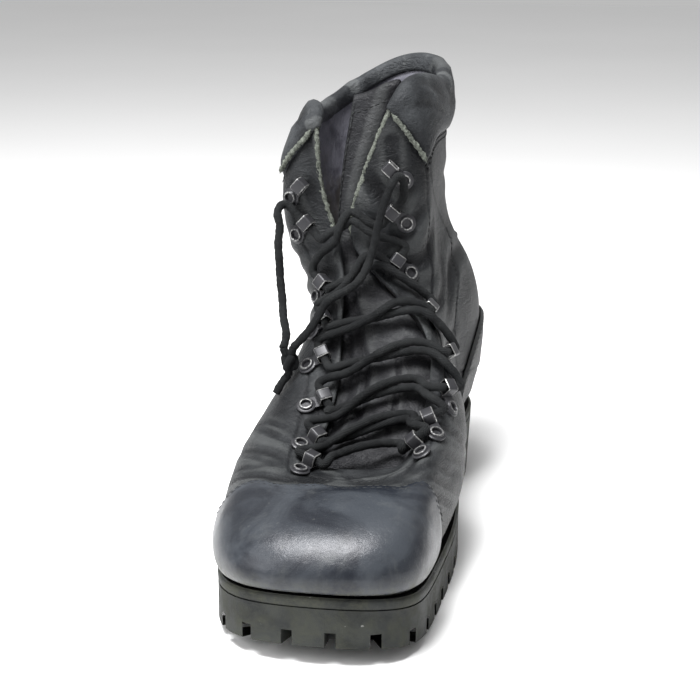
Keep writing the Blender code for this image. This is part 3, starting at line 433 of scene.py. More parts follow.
class Finish:
    """A material with short calls for its nodes."""

    def __init__(self, name, roughness=0.5, metallic=0.0, gloss=0.2):
        self.material = bpy.data.materials.new(name)
        self.material.use_nodes = True
        self.tree = self.material.node_tree
        self.shader = self.tree.nodes["Principled BSDF"]
        self.shader.inputs["Roughness"].default_value = roughness
        self.shader.inputs["Metallic"].default_value = metallic
        self.shader.inputs["Specular IOR Level"].default_value = gloss
        self.shader.inputs["Specular Tint"].default_value = (0.6, 0.6, 0.62, 1)
        self.place = self.node("TexCoord").outputs["Object"]
        self.height = None

    def node(self, kind, **settings):
        made = self.tree.nodes.new("ShaderNode" + kind)
        for key, value in settings.items():
            setattr(made, key, value)
        return made

    def join(self, start, end):
        self.tree.links.new(start, end)

    def noise(self, scale, detail=4.0, roughness=0.55, distortion=0.0, stretch=None):
        made = self.node("TexNoise")
        made.inputs["Scale"].default_value = scale
        made.inputs["Detail"].default_value = detail
        made.inputs["Roughness"].default_value = roughness
        made.inputs["Distortion"].default_value = distortion
        place = self.place
        if stretch:
            turn = self.node("Mapping")
            turn.inputs["Scale"].default_value = stretch
            self.join(place, turn.inputs["Vector"])
            place = turn.outputs["Vector"]
        self.join(place, made.inputs["Vector"])
        return made.outputs["Fac"]

    def cells(self, scale, feature="F1"):
        made = self.node("TexVoronoi", feature=feature)
        made.inputs["Scale"].default_value = scale
        self.join(self.place, made.inputs["Vector"])
        return made.outputs["Distance"]

    def value(self, name):
        return self.node("Attribute", attribute_name=name).outputs["Fac"]

    def up(self, low, high):
        """0 below the height low and 1 above the height high, or the other way round."""
        split = self.node("SeparateXYZ")
        self.join(self.place, split.inputs[0])
        return self.span(split.outputs["Z"], low, high)

    def span(self, source, low, high, to_low=0.0, to_high=1.0):
        made = self.node("MapRange")
        made.interpolation_type = "SMOOTHSTEP"
        self.join(source, made.inputs["Value"])
        for key, number in zip(("From Min", "From Max", "To Min", "To Max"), (low, high, to_low, to_high)):
            made.inputs[key].default_value = number
        return made.outputs["Result"]

    def reckon(self, a, b, operation="MULTIPLY"):
        """Two values multiplied, or put together by another operation."""
        made = self.node("Math", operation=operation)
        for end, source in zip(made.inputs, (a, b)):
            if isinstance(source, (int, float)):
                end.default_value = source
            else:
                self.join(source, end)
        return made.outputs[0]

    def blend(self, share, first, second):
        made = self.node("Mix", data_type="RGBA")
        self.join(share, made.inputs["Factor"])
        for end, source in zip((made.inputs[6], made.inputs[7]), (first, second)):
            if isinstance(source, tuple):
                end.default_value = (*source, 1)
            else:
                self.join(source, end)
        return made.outputs[2]

    def paint(self, colour):
        self.join(colour, self.shader.inputs["Base Color"])

    def rough(self, source, low, high):
        self.join(self.span(source, 0.0, 1.0, low, high), self.shader.inputs["Roughness"])

    def emboss(self, source, distance, strength=1.0):
        made = self.node("Bump")
        made.inputs["Distance"].default_value = distance
        made.inputs["Strength"].default_value = strength
        self.join(source, made.inputs["Height"])
        if self.height is not None:
            self.join(self.height, made.inputs["Normal"])
        self.height = made.outputs["Normal"]
        self.join(self.height, self.shader.inputs["Normal"])


def black_leather(name, dark, light, worn, rough=(0.36, 0.60), grain=1.0, dust_top=0.050, dust=0.55):
    """Black leather: pebbled grain, fine wrinkles, grey rub on its ridges, and dust low down."""
    f = Finish(name)
    patches = f.noise(26, 6, 0.6, 0.6)
    colour = f.blend(f.span(patches, 0.34, 0.68), dark, light)
    scratches = f.noise(210, 8, 0.7, 0.4, (1, 1, 0.35))
    rubbed = f.span(scratches, 0.56, 0.78)
    ridge = f.span(f.value("hollow"), 0.05, -0.45)
    rub = f.reckon(f.reckon(ridge, 0.55), f.reckon(rubbed, f.span(patches, 0.40, 0.62)), "ADD")
    colour = f.blend(f.reckon(rub, 0.55), colour, worn)
    # painted shade: where the hollow value is high, down in folds, grooves and dents, the leather turns near black
    colour = f.blend(f.span(f.value("hollow"), 0.15, 0.95, 0.0, 0.62), colour, (0.003, 0.003, 0.0035))
    dusty = f.reckon(f.up(dust_top, 0.020), f.span(f.noise(60, 7, 0.65), 0.36, 0.66))
    colour = f.blend(f.reckon(dusty, dust), colour, (0.062, 0.065, 0.047))
    f.paint(colour)
    f.rough(f.reckon(patches, f.reckon(dusty, 0.5), "ADD"), *rough)
    f.emboss(f.cells(1150, "SMOOTH_F1"), 0.00022 * grain, 0.55)
    f.emboss(f.noise(420, 6, 0.65, 1.4), 0.0007 * grain, 0.6)
    f.emboss(f.noise(130, 5, 0.6, 2.2, (1, 1, 1.7)), 0.0020 * grain, 0.55)
    return f.material


LIP_ROUND = 0.0008
STATION_STEPS = 20
LEVEL_STEPS = 21
lining = Finish("grey_lining_leather", 0.55)
stain = lining.noise(34, 7, 0.62, 0.8)
cool = lining.blend(lining.span(stain, 0.36, 0.62), (0.085, 0.084, 0.102), (0.205, 0.204, 0.235))
cool = lining.blend(lining.span(lining.noise(120, 6, 0.7, 2.0, (1.6, 1.6, 0.35)), 0.54, 0.76, 0.0, 0.5),
                    cool, (0.38, 0.39, 0.41))
olive = lining.reckon(lining.up(0.186, 0.160), lining.span(lining.noise(45, 5), 0.40, 0.60))
cool = lining.blend(lining.reckon(olive, 0.6), cool, (0.085, 0.072, 0.040))
# painted shade: the lining turns near black from 17.6 cm down to 12 cm, deep inside the shaft
lining.paint(lining.blend(lining.up(0.176, 0.120), cool, (0.012, 0.012, 0.013)))
lining.emboss(lining.noise(90, 6, 0.6, 2.6, (1.5, 1.5, 0.45)), 0.0022, 0.55)
lining.emboss(lining.cells(1300, "SMOOTH_F1"), 0.0002, 0.5)

stations = np.arange(STATIONS * STATION_STEPS) / STATION_STEPS
levels = np.arange(LEVELS * LEVEL_STEPS + 1) / LEVEL_STEPS
s, v = np.meshgrid(stations, levels, indexing="ij")
outside, outside_hollow = worn_skin(s, v)
inner_levels = np.linspace(LEVELS, 0, LEVELS * 5 + 1)
si, vi = np.meshgrid(stations, inner_levels, indexing="ij")
inside, _ = worn_skin(si, vi, -WALL)
lip, _ = worn_skin(stations[:, None], np.full((len(stations), 1), float(LEVELS)), -WALL / 2)
crest = outside[:, -1:] - outside[:, -4:-3]
lip = lip + LIP_ROUND * crest / np.linalg.norm(crest, axis=-1)[..., None]
foot, out = lasting_line(stations)
turned = foot - out * LASTING_MARGIN
turned[:, 2] = lasting_height(turned[:, 1])
corner = foot - out * WALL
corner[:, 2] = lasting_height(corner[:, 1]) + WALL
margin = turned + np.array([0, 0, WALL])
loops = np.concatenate([turned[:, None], outside, lip, inside[:, :-1], corner[:, None], margin[:, None]],
                       axis=1)
hollow = np.zeros(loops.shape[:2])
hollow[:, 1:1 + len(levels)] = outside_hollow
faces = grid_faces(*loops.shape[:2], True, True)
column = faces[:, 0] % loops.shape[1]
upper = sew_mesh(
    "upper", loops, faces,
    [black_leather("upper_leather", (0.0065, 0.0070, 0.0078), (0.022, 0.0235, 0.025), (0.080, 0.084, 0.084)),
     lining.material],
    finish_of=column > len(levels), hollow=hollow)
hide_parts("upper")
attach(upper, "root")

# Toe cap and heel counter
# Second layers of firm leather, glued and stitched over the upper at toe and heel. The cap has been polished
# and is scuffed, with soft dents over the toes.
def closed_slab(face, back):
    """Points and faces of a slab between two grids of the same size."""
    rows, columns = face.shape[:2]
    count = rows * columns
    index = np.arange(count).reshape(rows, columns)
    border = np.concatenate([index[0, :-1], index[:-1, -1], index[-1, :0:-1], index[:0:-1, 0]])
    rim = np.stack([border, count + border, count + np.roll(border, -1), np.roll(border, -1)], 1)
    sheet = grid_faces(rows, columns)
    return (np.concatenate([face.reshape(-1, 3), back.reshape(-1, 3)]),
            np.concatenate([sheet, count + sheet[:, ::-1], rim]))


OVERLAY = 0.0016
OVERLAY_GAP = 0.0007
OVERLAY_FOOT = 0.35
TOE_CAP_TOP = [(0, 5.50), (1, 5.45), (2, 4.90), (3, 3.60), (3.34, 2.40)]
COUNTER_TOP = [(8, 1.30), (9, 2.05), (10, 2.40), (11, 2.35), (12, 2.45)]
SKIVE = 0.0022  # the edge thins out over this width


def edge_level(table, at):
    rows = np.asarray(table, float)
    side = np.minimum(at % STATIONS, -at % STATIONS)
    return spline(rows[:, 0], rows[:, 1], side)[:, 0]


def overlay(name, first, last, top, finish, per_station=14, rows=64):
    at = np.linspace(first, last, int((last - first) * per_station))
    share = np.linspace(0, 1, rows)
    high = edge_level(top, at)
    s = np.repeat(at[:, None], rows, axis=1)
    v = OVERLAY_FOOT + (high[:, None] - OVERLAY_FOOT) * share
    base, hollow = worn_skin(s, v, OVERLAY_GAP)
    run = np.cumsum(np.linalg.norm(np.diff(base, axis=1, prepend=base[:, :1]), axis=-1), axis=1)
    across = np.cumsum(np.linalg.norm(np.diff(base, axis=0, prepend=base[:1]), axis=-1), axis=0)
    edge = np.minimum.reduce([run, run[:, -1:] - run, across, across[-1:] - across])
    thick = OVERLAY * np.sqrt(np.clip(edge / SKIVE, 0, 1)) + 0.0001
    face = base + form_normal(s, v) * thick[..., None]
    # rub holds the hollow values, which the leather paints as shade in folds, lowered at the cut edges for grey rub
    rub = np.concatenate([hollow.ravel() - 0.5 * (edge.ravel() < 0.001), hollow.ravel()])
    piece = sew_mesh(name, *closed_slab(face, base), [finish], hollow=rub)
    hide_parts(name)
    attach(piece, "root")
    return piece


cap = Finish("polished_toe_leather", gloss=0.5)
clouds = cap.noise(30, 5, 0.55, 0.9)
cap_colour = cap.blend(cap.span(clouds, 0.36, 0.64), (0.006, 0.0075, 0.011), (0.028, 0.032, 0.038))
mist = cap.noise(62, 7, 0.68, 0.5)
cap_colour = cap.blend(cap.span(mist, 0.50, 0.76, 0.0, 0.45), cap_colour, (0.062, 0.066, 0.066))
scuff = cap.span(cap.noise(330, 8, 0.75, 0.3, (1, 1, 0.5)), 0.60, 0.78)
cap_colour = cap.blend(cap.reckon(scuff, 0.5), cap_colour, (0.125, 0.128, 0.115))
low_dust = cap.reckon(cap.up(0.043, 0.027), cap.span(cap.noise(150, 7, 0.7), 0.38, 0.64))
cap_colour = cap.blend(cap.reckon(low_dust, 0.72), cap_colour, (0.095, 0.098, 0.068))
cap.paint(cap_colour)
cap.rough(cap.reckon(cap.reckon(mist, 0.55), cap.reckon(low_dust, 0.6), "ADD"), 0.26, 0.72)
cap.emboss(cap.noise(22, 3, 0.5, 0.3), 0.004, 0.35)
cap.emboss(cap.noise(500, 7, 0.7, 0.8), 0.00028, 0.5)
overlay("toe_cap", -TOE_CAP_TOP[-1][0], TOE_CAP_TOP[-1][0], TOE_CAP_TOP, cap.material)
overlay("heel_counter", COUNTER_TOP[0][0], STATIONS - COUNTER_TOP[0][0], COUNTER_TOP,
        black_leather("counter_leather", (0.009, 0.0095, 0.0105), (0.024, 0.025, 0.026), (0.075, 0.078,
                                                                                          0.075)))

# Collar
# A padded band of soft leather round the top of the shaft, with foam in it. It folds over the edge of the
# upper, and its front corners hang open and outwards.
COLLAR_ENDS = 8.67
COLLAR_PAD = 0.0040
RIM_LIFT = 0.0016
COLLAR_FOLDS = [
    # depth and half width in mm, then station and level along the fold
    (1.2, 3.2, [(15.3, 6.9), (14.9, 6.6), (14.5, 6.35), (14.1, 6.25)]),
    (1.0, 2.8, [(14.9, 7.0), (14.5, 6.7), (14.1, 6.5), (13.7, 6.45)]),
    (0.9, 3.0, [(14.2, 7.0), (13.9, 6.7), (13.4, 6.5)]),
    (0.8, 3.0, [(13.1, 7.0), (12.9, 6.6), (12.9, 6.2)]),
    (0.9, 3.2, [(12.1, 7.0), (12.0, 6.5), (12.1, 6.1)]),
    (0.8, 3.0, [(11.1, 7.0), (11.2, 6.6), (11.1, 6.2)]),
    (1.0, 3.0, [(8.9, 6.9), (9.3, 6.6), (9.8, 6.4), (10.3, 6.3)]),
    (0.8, 2.6, [(9.4, 7.0), (9.6, 6.7), (10.2, 6.6)]),
]
EYELETS = [(15.05, 6.78), (14.70, 6.55), (8.95, 6.78), (9.30, 6.55)]
EYELET_RADIUS = 0.0013
EYELET_DEPTH = 0.0018
EYELET_RIM = 0.0004
band = np.linspace(COLLAR_ENDS, STATIONS - COLLAR_ENDS, 320)
section = [
    # level, thickness over the leather as a share of COLLAR_PAD
    (6.00, 0.20), (6.03, 0.45), (6.08, 0.66), (6.16, 0.86), (6.26, 0.98), (6.38, 1.06), (6.50, 1.10), (6.62,
                                                                                                       1.10),
    (6.74, 1.06), (6.84, 1.00), (6.92, 0.94), (7.00, 0.86),
]
rows = []
for level, share in section:
    rows.append((level, OVERLAY_GAP + share * COLLAR_PAD, 0.0))
over = [(0.55, 0.70), (0.10, 1.00), (-0.35, 0.92), (-0.75, 0.55), (-0.92, 0.0)]
for share, lift in over:
    rows.append((7.0, share * (COLLAR_PAD if share > 0 else WALL + 0.0012),
                 RIM_LIFT * lift + 0.0012 * (lift > 0)))
rows += [(6.90, -WALL - 0.0013, 0.0), (6.78, -WALL - 0.0013, 0.0), (6.70, -WALL - 0.0009, 0.0),
         (6.70, -WALL - 0.0002, 0.0), (6.85, -WALL - 0.0002, 0.0), (7.0, -WALL - 0.0002, 0.0),
         (7.0, -WALL / 2, 0.0011), (7.0, OVERLAY_GAP * 0.6, 0.0004), (6.7, OVERLAY_GAP * 0.7, 0.0),
         (6.3, OVERLAY_GAP * 0.7, 0.0), (6.0, OVERLAY_GAP * 0.7, 0.0)]
rows = np.array(rows)
s = np.repeat(band[:, None], len(rows), axis=1)
v = np.repeat(rows[None, :, 0], len(band), axis=0)
end = np.minimum(np.arange(len(band)), np.arange(len(band))[::-1])
swell = np.sqrt(np.clip(end / 6, 0.08, 1))[:, None]
pad, collar_hollow = worn_skin(s, v, rows[:, 1] * np.where(rows[:, 1] > OVERLAY_GAP, swell, 1.0))
crest = last_form(band, np.full(len(band), 7.0)) - last_form(band, np.full(len(band), 6.9))
crest /= np.linalg.norm(crest, axis=1)[:, None]
pad += crest[:, None] * rows[None, :, 2, None]
flat = pad.reshape(-1, 3).copy()
puff = form_normal(s, v).reshape(-1, 3)
outer_side = np.tile(rows[:, 1] > 0.0012, len(band))
for depth, width, line in COLLAR_FOLDS:
    way = last_form(*surface_line(line, 20)) + form_normal(*surface_line(line, 20)) * COLLAR_PAD
    gap, share = distance_to_line(flat, way)
    fade = np.sqrt(np.sin(np.pi * np.clip(share, 0.03, 0.97))) * outer_side
    gap = gap * 1000 / width
    trough = np.exp(-gap**2) - 0.35 * np.exp(-((gap - 2) ** 2))
    pad.reshape(-1, 3)[:] -= puff * (depth / 1000 * trough * fade)[:, None]
    collar_hollow += (0.8 * np.exp(-gap**2) * fade).reshape(collar_hollow.shape)
for place in EYELETS:
    middle = last_form(*place) + form_normal(*place) * COLLAR_PAD
    gap = np.linalg.norm(flat - middle, axis=1) / EYELET_RADIUS
    hole = np.exp(-gap**4) * outer_side
    swelling = np.exp(-((gap - 1.8) ** 2) * 3) * outer_side
    pad.reshape(-1, 3)[:] -= puff * (EYELET_DEPTH * hole - EYELET_RIM * swelling)[:, None]
    # painted shade: the eyelet dents get a high hollow value, which the collar leather paints near black
    collar_hollow += (2.5 * hole).reshape(collar_hollow.shape)
faces = grid_faces(len(band), len(rows), False, True).tolist()
faces += [list(range(len(rows)))[::-1], [(len(band) - 1) * len(rows) + n for n in range(len(rows))]]
collar = sew_mesh("collar", pad, faces,
                  [black_leather("collar_leather", (0.011, 0.012, 0.0135), (0.042, 0.045, 0.048),
                                 (0.130, 0.136, 0.136), (0.40, 0.62))], hollow=collar_hollow)
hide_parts("collar")
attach(collar, "root")

# Torn edges
# Where the collar's corners fold out, the split leather shows: pale grey-green fibres along the cut edges of
# the corners and of the throat below them.
TEAR_RADIUS = 0.0012
felt = Finish("torn_leather_fibres", 0.95)
fibres = felt.noise(700, 8, 0.8, 1.0)
felt.paint(felt.blend(felt.span(fibres, 0.30, 0.72), (0.030, 0.033, 0.028), (0.210, 0.225, 0.195)))
felt.emboss(fibres, 0.0012, 1.0)


def torn_strip(line, radius):
    """Ragged, furry strip along a line of points."""
    way = np.gradient(line, axis=0)
    way /= np.linalg.norm(way, axis=1)[:, None]
    side = np.cross(way, [0.3, 0.8, 0.5])
    side /= np.linalg.norm(side, axis=1)[:, None]
    top = np.cross(side, way)
    angles = 2 * np.pi * np.arange(12) / 12
    ring = side[:, None] * np.cos(angles)[:, None] + top[:, None] * np.sin(angles)[:, None]
    rough = np.array([[noise.noise((*(p * 700 + 5 * c),)) for c in offsets] for p, offsets in zip(line,
                                                                                                  ring)])
    taper = np.clip(np.minimum(np.arange(len(line)), np.arange(len(line))[::-1]) / 8, 0.15, 1)[:, None]
    return line[:, None] + ring * (radius * taper * (1 + 0.75 * rough))[..., None]


tears = []
for mirror in (lambda s: s, lambda s: STATIONS - s):
    for first, last, low, high, lift in ((8.66, 8.66, 6.05, 6.98, 0.0030), (8.9, 7.15, 7.0, 7.0, -0.0010)):
        at = mirror(np.linspace(first, last, 90))
        up = np.linspace(low, high, 90)
        tears.append(worn_skin(at, up, lift)[0] + [0, 0, 0.0003])
tear_points = [torn_strip(line, TEAR_RADIUS) for line in tears]
tear_faces, start = [], 0
for strip in tear_points:
    size = strip.shape[0] * strip.shape[1]
    tear_faces += (grid_faces(*strip.shape[:2], False, True) + start).tolist()
    tear_faces += [list(range(start, start + 12))[::-1], list(range(start + size - 12, start + size))]
    start += size
torn = sew_mesh("torn_edges", np.concatenate([p.reshape(-1, 3) for p in tear_points]), tear_faces,
                [felt.material])
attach(torn, "root")

# Tongue
# Padded leather sewn in at the bottom of the throat, with gusset folds at its lower end. Its top edge is
# bound
# and stitched, and a soft ridge runs down its middle.
TONGUE_THICK = 0.0042
TONGUE_GAP = 0.0010
TONGUE_LAP = 0.0070
TONGUE_FALL = 0.6
TONGUE = [
    # station, level, outer, inner, bulge, dip, rise
    (2.0, 6.50, 0.060, 0.060, 0.000, 0.045, 0.000), (2.4, 7.00, 0.090, 0.060, 0.020, 0.025, 0.000),
    (3.2, 7.00, 0.090, 0.050, 0.060, 0.005, 0.000), (4.0, 7.00, 0.090, 0.040, 0.080, 0.005, 0.000),
    (5.0, 7.00, 0.090, 0.020, 0.080, 0.005, 0.000), (6.0, 7.00, 0.080, 0.020, 0.060, 0.010, 0.000),
    (7.0, 7.00, 0.050, 0.050, 0.010, 0.015, 0.000), (8.0, 7.00, -0.120, 0.080, 0.010, 0.030, 0.000),
    (9.0, 7.00, -0.220, 0.060, 0.010, 0.060, 0.080),
]
TONGUE_FOLDS = [
    # depth and half width in mm, then row (0 toe end to 8 top) and share across (0 outer to 1 inner)
    (1.3, 2.6, [(2.6, 0.22), (3.6, 0.24), (4.8, 0.20), (5.8, 0.16)]),
    (1.4, 2.4, [(2.4, 0.38), (3.4, 0.40), (4.6, 0.36), (5.6, 0.38)]),
    (1.2, 2.2, [(3.0, 0.30), (4.0, 0.31), (5.2, 0.28)]),
    (1.0, 2.6, [(3.3, 0.55), (3.4, 0.75), (3.5, 0.95)]),
    (0.8, 1.2, [(1.6, 0.66), (2.6, 0.66), (3.6, 0.67), (4.3, 0.67)]),
    (1.3, 3.0, [(5.2, 0.30), (5.35, 0.5), (5.2, 0.7), (5.3, 0.9)]),
    (1.2, 2.8, [(5.9, 0.25), (6.0, 0.5), (5.8, 0.8)]),
    (0.7, 2.0, [(4.5, 0.6), (4.6, 0.8), (4.5, 0.97)]),
    (0.6, 1.8, [(2.2, 0.5), (2.3, 0.8), (2.2, 0.95)]),
    (-1.0, 3.6, [(6.6, 0.42), (7.2, 0.44), (8.0, 0.45)]),
]
ROWS, COLUMNS = 150, 70


def tongue_row(station, level, outer, inner, bulge, dip, rise):
    ends = np.array([station, STATIONS - station])
    at = np.full(2, float(level))
    normal = form_normal(ends, at)
    edge = last_form(ends, at) + normal * (-WALL - TONGUE_GAP)
    under = last_form(ends, at - 0.1) - last_form(ends, at)
    under /= np.linalg.norm(under, axis=1)[:, None]
    lap = edge + (under - normal * TONGUE_FALL) * TONGUE_LAP
    forward = normal.mean(axis=0)
    forward /= np.linalg.norm(forward)
    if level < LEVELS:
        zero = np.zeros(1)
        middle = (last_form(zero, at[:1]) + form_normal(zero, at[:1]) * (-WALL - TONGUE_GAP))[0]
    else:
        middle = edge.mean(axis=0) + forward * bulge * SHAFT_WIDTH
    knots = np.array([lap[0], edge[0], middle, edge[1], lap[1]])
    run = np.append(0, np.cumsum(np.linalg.norm(np.diff(knots, axis=0), axis=1)))
    across = np.linspace(run[1] - outer * SHAFT_WIDTH, run[3] + inner * SHAFT_WIDTH, 7)
    row = spline(run, knots, across) - forward * dip * SHAFT_WIDTH
    row[:, 2] += rise * SHAFT_WIDTH
    return row, forward


tongue_rows = [tongue_row(*row) for row in TONGUE]
fine = np.linspace(0, len(TONGUE) - 1, ROWS)
lattice = spline(np.arange(len(TONGUE)), [row.ravel() for row, _ in tongue_rows], fine).reshape(ROWS, 7, 3)
fronts = spline(np.arange(len(TONGUE)), [front for _, front in tongue_rows], fine)
shares = np.linspace(0, 1, COLUMNS)
face = spline(np.linspace(0, 1, 7), lattice.transpose(1, 0, 2).reshape(7, -1), shares)
face = face.reshape(COLUMNS, ROWS, 3).transpose(1, 0, 2)
normal = np.cross(np.gradient(face, axis=1), np.gradient(face, axis=0))
normal = normal / np.linalg.norm(normal, axis=-1)[..., None] + fronts[:, None]
normal /= np.linalg.norm(normal, axis=-1)[..., None]


def tongue_place(rows_and_shares, count=24):
    """Points on the front of the tongue from rows and shares across it."""
    rows_and_shares = np.asarray(rows_and_shares, float)
    run = np.append(0, np.cumsum(np.linalg.norm(np.diff(rows_and_shares, axis=0), axis=1)))
    line = spline(run, rows_and_shares, np.linspace(0, run[-1], count))
    i = np.clip(np.rint(line[:, 0] / (len(TONGUE) - 1) * (ROWS - 1)).astype(int), 0, ROWS - 1)
    j = np.clip(np.rint(line[:, 1] * (COLUMNS - 1)).astype(int), 0, COLUMNS - 1)
    return face[i, j]


front = face.reshape(-1, 3).copy()
tongue_hollow = np.zeros(len(front))
sink = np.zeros(len(front))
for depth, width, line in TONGUE_FOLDS:
    gap, share = distance_to_line(front, tongue_place(line))
    fade = np.sqrt(np.sin(np.pi * np.clip(share, 0.03, 0.97)))
    gap = gap * 1000 / width
    sink += depth / 1000 * np.exp(-gap**2) * fade
    tongue_hollow += math.copysign(0.9, depth) * (np.exp(-gap**2) - 0.4 * np.exp(-((gap - 2) ** 2))) * fade
i, j = np.meshgrid(np.arange(ROWS), np.arange(COLUMNS), indexing="ij")
side = np.minimum(j, COLUMNS - 1 - j) * 0.0012
tip = (ROWS - 1 - i) * 0.0016
ease = np.sqrt(np.clip(np.minimum(side, tip) / 0.0024, 0.02, 1))
binding = 0.0007 * np.exp(-((np.minimum(side, tip) - 0.0022) / 0.0016) ** 2) * (i > 0.66 * ROWS)
wrinkle = np.array([noise.noise((x * 110, y * 110, z * 60)) for x, y, z in front]).reshape(ROWS, COLUMNS)
front_face = face - normal * (sink.reshape(ROWS,
    COLUMNS) + 0.0009 * (1 - ease) - binding - 0.0004 * wrinkle)[..., None]
back_face = face - normal * (TONGUE_THICK - 0.0009 * (1 - ease))[..., None]
tongue = sew_mesh(
    "tongue", *closed_slab(front_face, back_face),
    [black_leather("tongue_leather", (0.006, 0.006, 0.007), (0.016, 0.0165, 0.018), (0.070, 0.073, 0.073),
                   (0.32, 0.56), 0.8)],
    hollow=np.concatenate([tongue_hollow, np.zeros(ROWS * COLUMNS)]))
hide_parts("tongue")
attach(tongue, "root")

# Insole
# A thin leather-faced board that lies on the turned-in margin. It keeps its plain shape and gets a worn face.
footbed = Finish("worn_insole", 0.8)
worn = footbed.noise(30, 6, 0.6, 0.5)
footbed.paint(footbed.blend(footbed.span(worn, 0.35, 0.65), (0.030, 0.022, 0.015), (0.085, 0.064, 0.044)))
footbed.emboss(footbed.noise(600, 5), 0.0003, 0.6)
insole = frame["nodes"]["insole"]
insole.data.materials.clear()
insole.data.materials.append(footbed.material)

# Midsole, outsole and heel
# Black rubber: a welt layer that shows as a dusty rim, a lugged forefoot tread with toe spring, and a heel
# block of the same lugs. Square notches part the lugs along the edge.
WELT_RIM = 0.0045
MIDSOLE_THICK = 0.0050
SHANK_THICK = 0.0090
HEEL_TAPER = 0.0020
LUG_DEPTH = 0.0070
LUG_GAP = 0.0050
LUG_LENGTH = 0.0150
LUG_PITCH = 0.0200
BREAST = 8.25
NOTCH_END = 5.9
NOTCH_START = 0.5
TREAD_ROWS = 6
TREAD_SPAN = (0.90, 0.53)
HEEL_GROOVE = 0.20


def midsole_bottom(y):
    return lasting_height(y) - CLEARANCE - MIDSOLE_THICK


def sole_top(y):
    return midsole_bottom(y) - CLEARANCE


def flat_ground(y):
    return np.zeros(np.shape(y))


def tread_height(y):
    along = (Y_BACK - np.asarray(y, float)) / SOLE_LENGTH
    toe = np.clip((along - 0.70) / 0.30, 0, 1)
    shank = np.clip((0.50 - along) / 0.16, 0, 1)
    shank = shank * shank * (3 - 2 * shank)
    low = TOE_SPRING * toe * toe
    return low + (sole_top(y) - SHANK_THICK - low) * shank


def rubber_layer(name, at, grow, bottom, top, finish):
    """Layer of the sole: grow is how far its side stands out at heights from bottom to top."""
    sides = np.concatenate([at, (-at[::-1]) % STATIONS])
    if at[0] == 0:
        sides = np.delete(sides, len(sides) - 1)
    if at[-1] == STATIONS / 2:
        sides = np.delete(sides, len(at))
    foot, out = lasting_line(sides)
    rings = []
    for share, reach, drop in grow:
        ring = foot + out * reach
        ring[:, 2] = bottom(ring[:, 1]) * (1 - share) + top(ring[:, 1]) * share + drop
        rings.append(ring)
    count = len(sides)
    faces = grid_faces(len(rings), count, False, True).tolist()
    partner = {}
    for n, side in enumerate(sides):
        partner.setdefault(round(min(side, STATIONS - side), 4), []).append(n)
    strips = [partner[key] for key in sorted(partner)]
    for shift, turn in ((0, 1), ((len(rings) - 1) * count, -1)):
        for low, high in zip(strips, strips[1:]):
            ring = [low[0], high[0], high[-1], low[-1]]
            ring = [n for k, n in enumerate(ring) if n not in ring[:k]]
            faces.append([shift + n for n in ring[::turn]])
    return sew_mesh(name, np.array(rings).reshape(-1, 3), faces, [finish])


def notch_blocks(first, last, floor):
    fine = np.linspace(first, last, 400)
    foot, out = lasting_line(fine)
    line = (foot + out * WELT_RIM)[:, :2]
    run = np.append(0, np.cumsum(np.linalg.norm(np.diff(line, axis=0), axis=1)))
    count = int(run[-1] / LUG_PITCH)
    spare = (run[-1] - (count - 1) * LUG_PITCH) / 2
    blocks = []
    for n in range(count):
        i = np.searchsorted(run, spare + n * LUG_PITCH)
        outward = out[i, :2]
        across = np.array([-outward[1], outward[0]]) * LUG_GAP / 2
        inner = line[i] - outward * LUG_LENGTH
        outer = line[i] + outward * LUG_GAP
        blocks.append(([inner - across, outer - across, outer + across, inner + across],
                       float(floor(line[i, 1])) + LUG_DEPTH))
    return blocks


def groove_blocks(places, floor):
    fine = np.linspace(0, STATIONS / 2, 200)
    outer, inner = lasting_line(fine)[0], lasting_line(STATIONS - fine)[0]
    blocks = []
    for y in places:
        i = np.argmin(abs(outer[:, 1] - y))
        left, right = outer[i, 0] + LUG_LENGTH, inner[i, 0] - LUG_LENGTH
        half = LUG_GAP / 2
        blocks.append(([(left, y - half), (right, y - half), (right, y + half), (left, y + half)],
                       float(floor(y)) + LUG_DEPTH))
    return blocks


def cut_lugs(piece, blocks):
    points, faces = [], []
    for n, (plan, top) in enumerate(blocks):
        points += [(x, y, -LUG_DEPTH) for x, y in plan] + [(x, y, top) for x, y in plan]
        a = 8 * n
        faces += [(a + 3, a + 2, a + 1, a), (a + 4, a + 5, a + 6, a + 7)]
        faces += [(a + i, a + (i + 1) % 4, a + 4 + (i + 1) % 4, a + 4 + i) for i in range(4)]
    cutter = sew_mesh(piece.name + "_cutter", points, faces, [piece.data.materials[0]])
    cut = piece.modifiers.new("lugs", "BOOLEAN")
    cut.operation = "DIFFERENCE"
    cut.solver = "EXACT"
    cut.object = cutter
    round_off = piece.modifiers.new("worn edges", "BEVEL")
    round_off.width = 0.0007
    round_off.segments = 2
    round_off.angle_limit = math.radians(50)
    settle(piece)
    bpy.data.objects.remove(cutter)


def settle(piece):
    """Makes a piece's modifiers part of its mesh."""
    shaped = piece.evaluated_get(bpy.context.evaluated_depsgraph_get())
    mesh = bpy.data.meshes.new_from_object(shaped)
    piece.modifiers.clear()
    piece.data = mesh


def black_rubber(name, dusty):
    f = Finish(name)
    cloud = f.noise(40, 6, 0.6, 0.4)
    colour = f.blend(f.span(cloud, 0.35, 0.65), (0.011, 0.012, 0.012), (0.027, 0.029, 0.028))
    film = f.span(f.noise(95, 8, 0.7, 0.6), 0.34, 0.72)
    colour = f.blend(f.reckon(film, dusty), colour, (0.064, 0.066, 0.050))
    chips = f.span(f.noise(240, 3, 0.5, 0.2), 0.70, 0.74)
    colour = f.blend(f.reckon(chips, 0.55), colour, (0.24, 0.24, 0.23))
    f.paint(colour)
    f.rough(film, 0.62, 0.92)
    f.emboss(f.noise(700, 7, 0.75), 0.0004, 0.6)
    f.emboss(f.noise(90, 5, 0.6), 0.0008, 0.3)
    return f.material


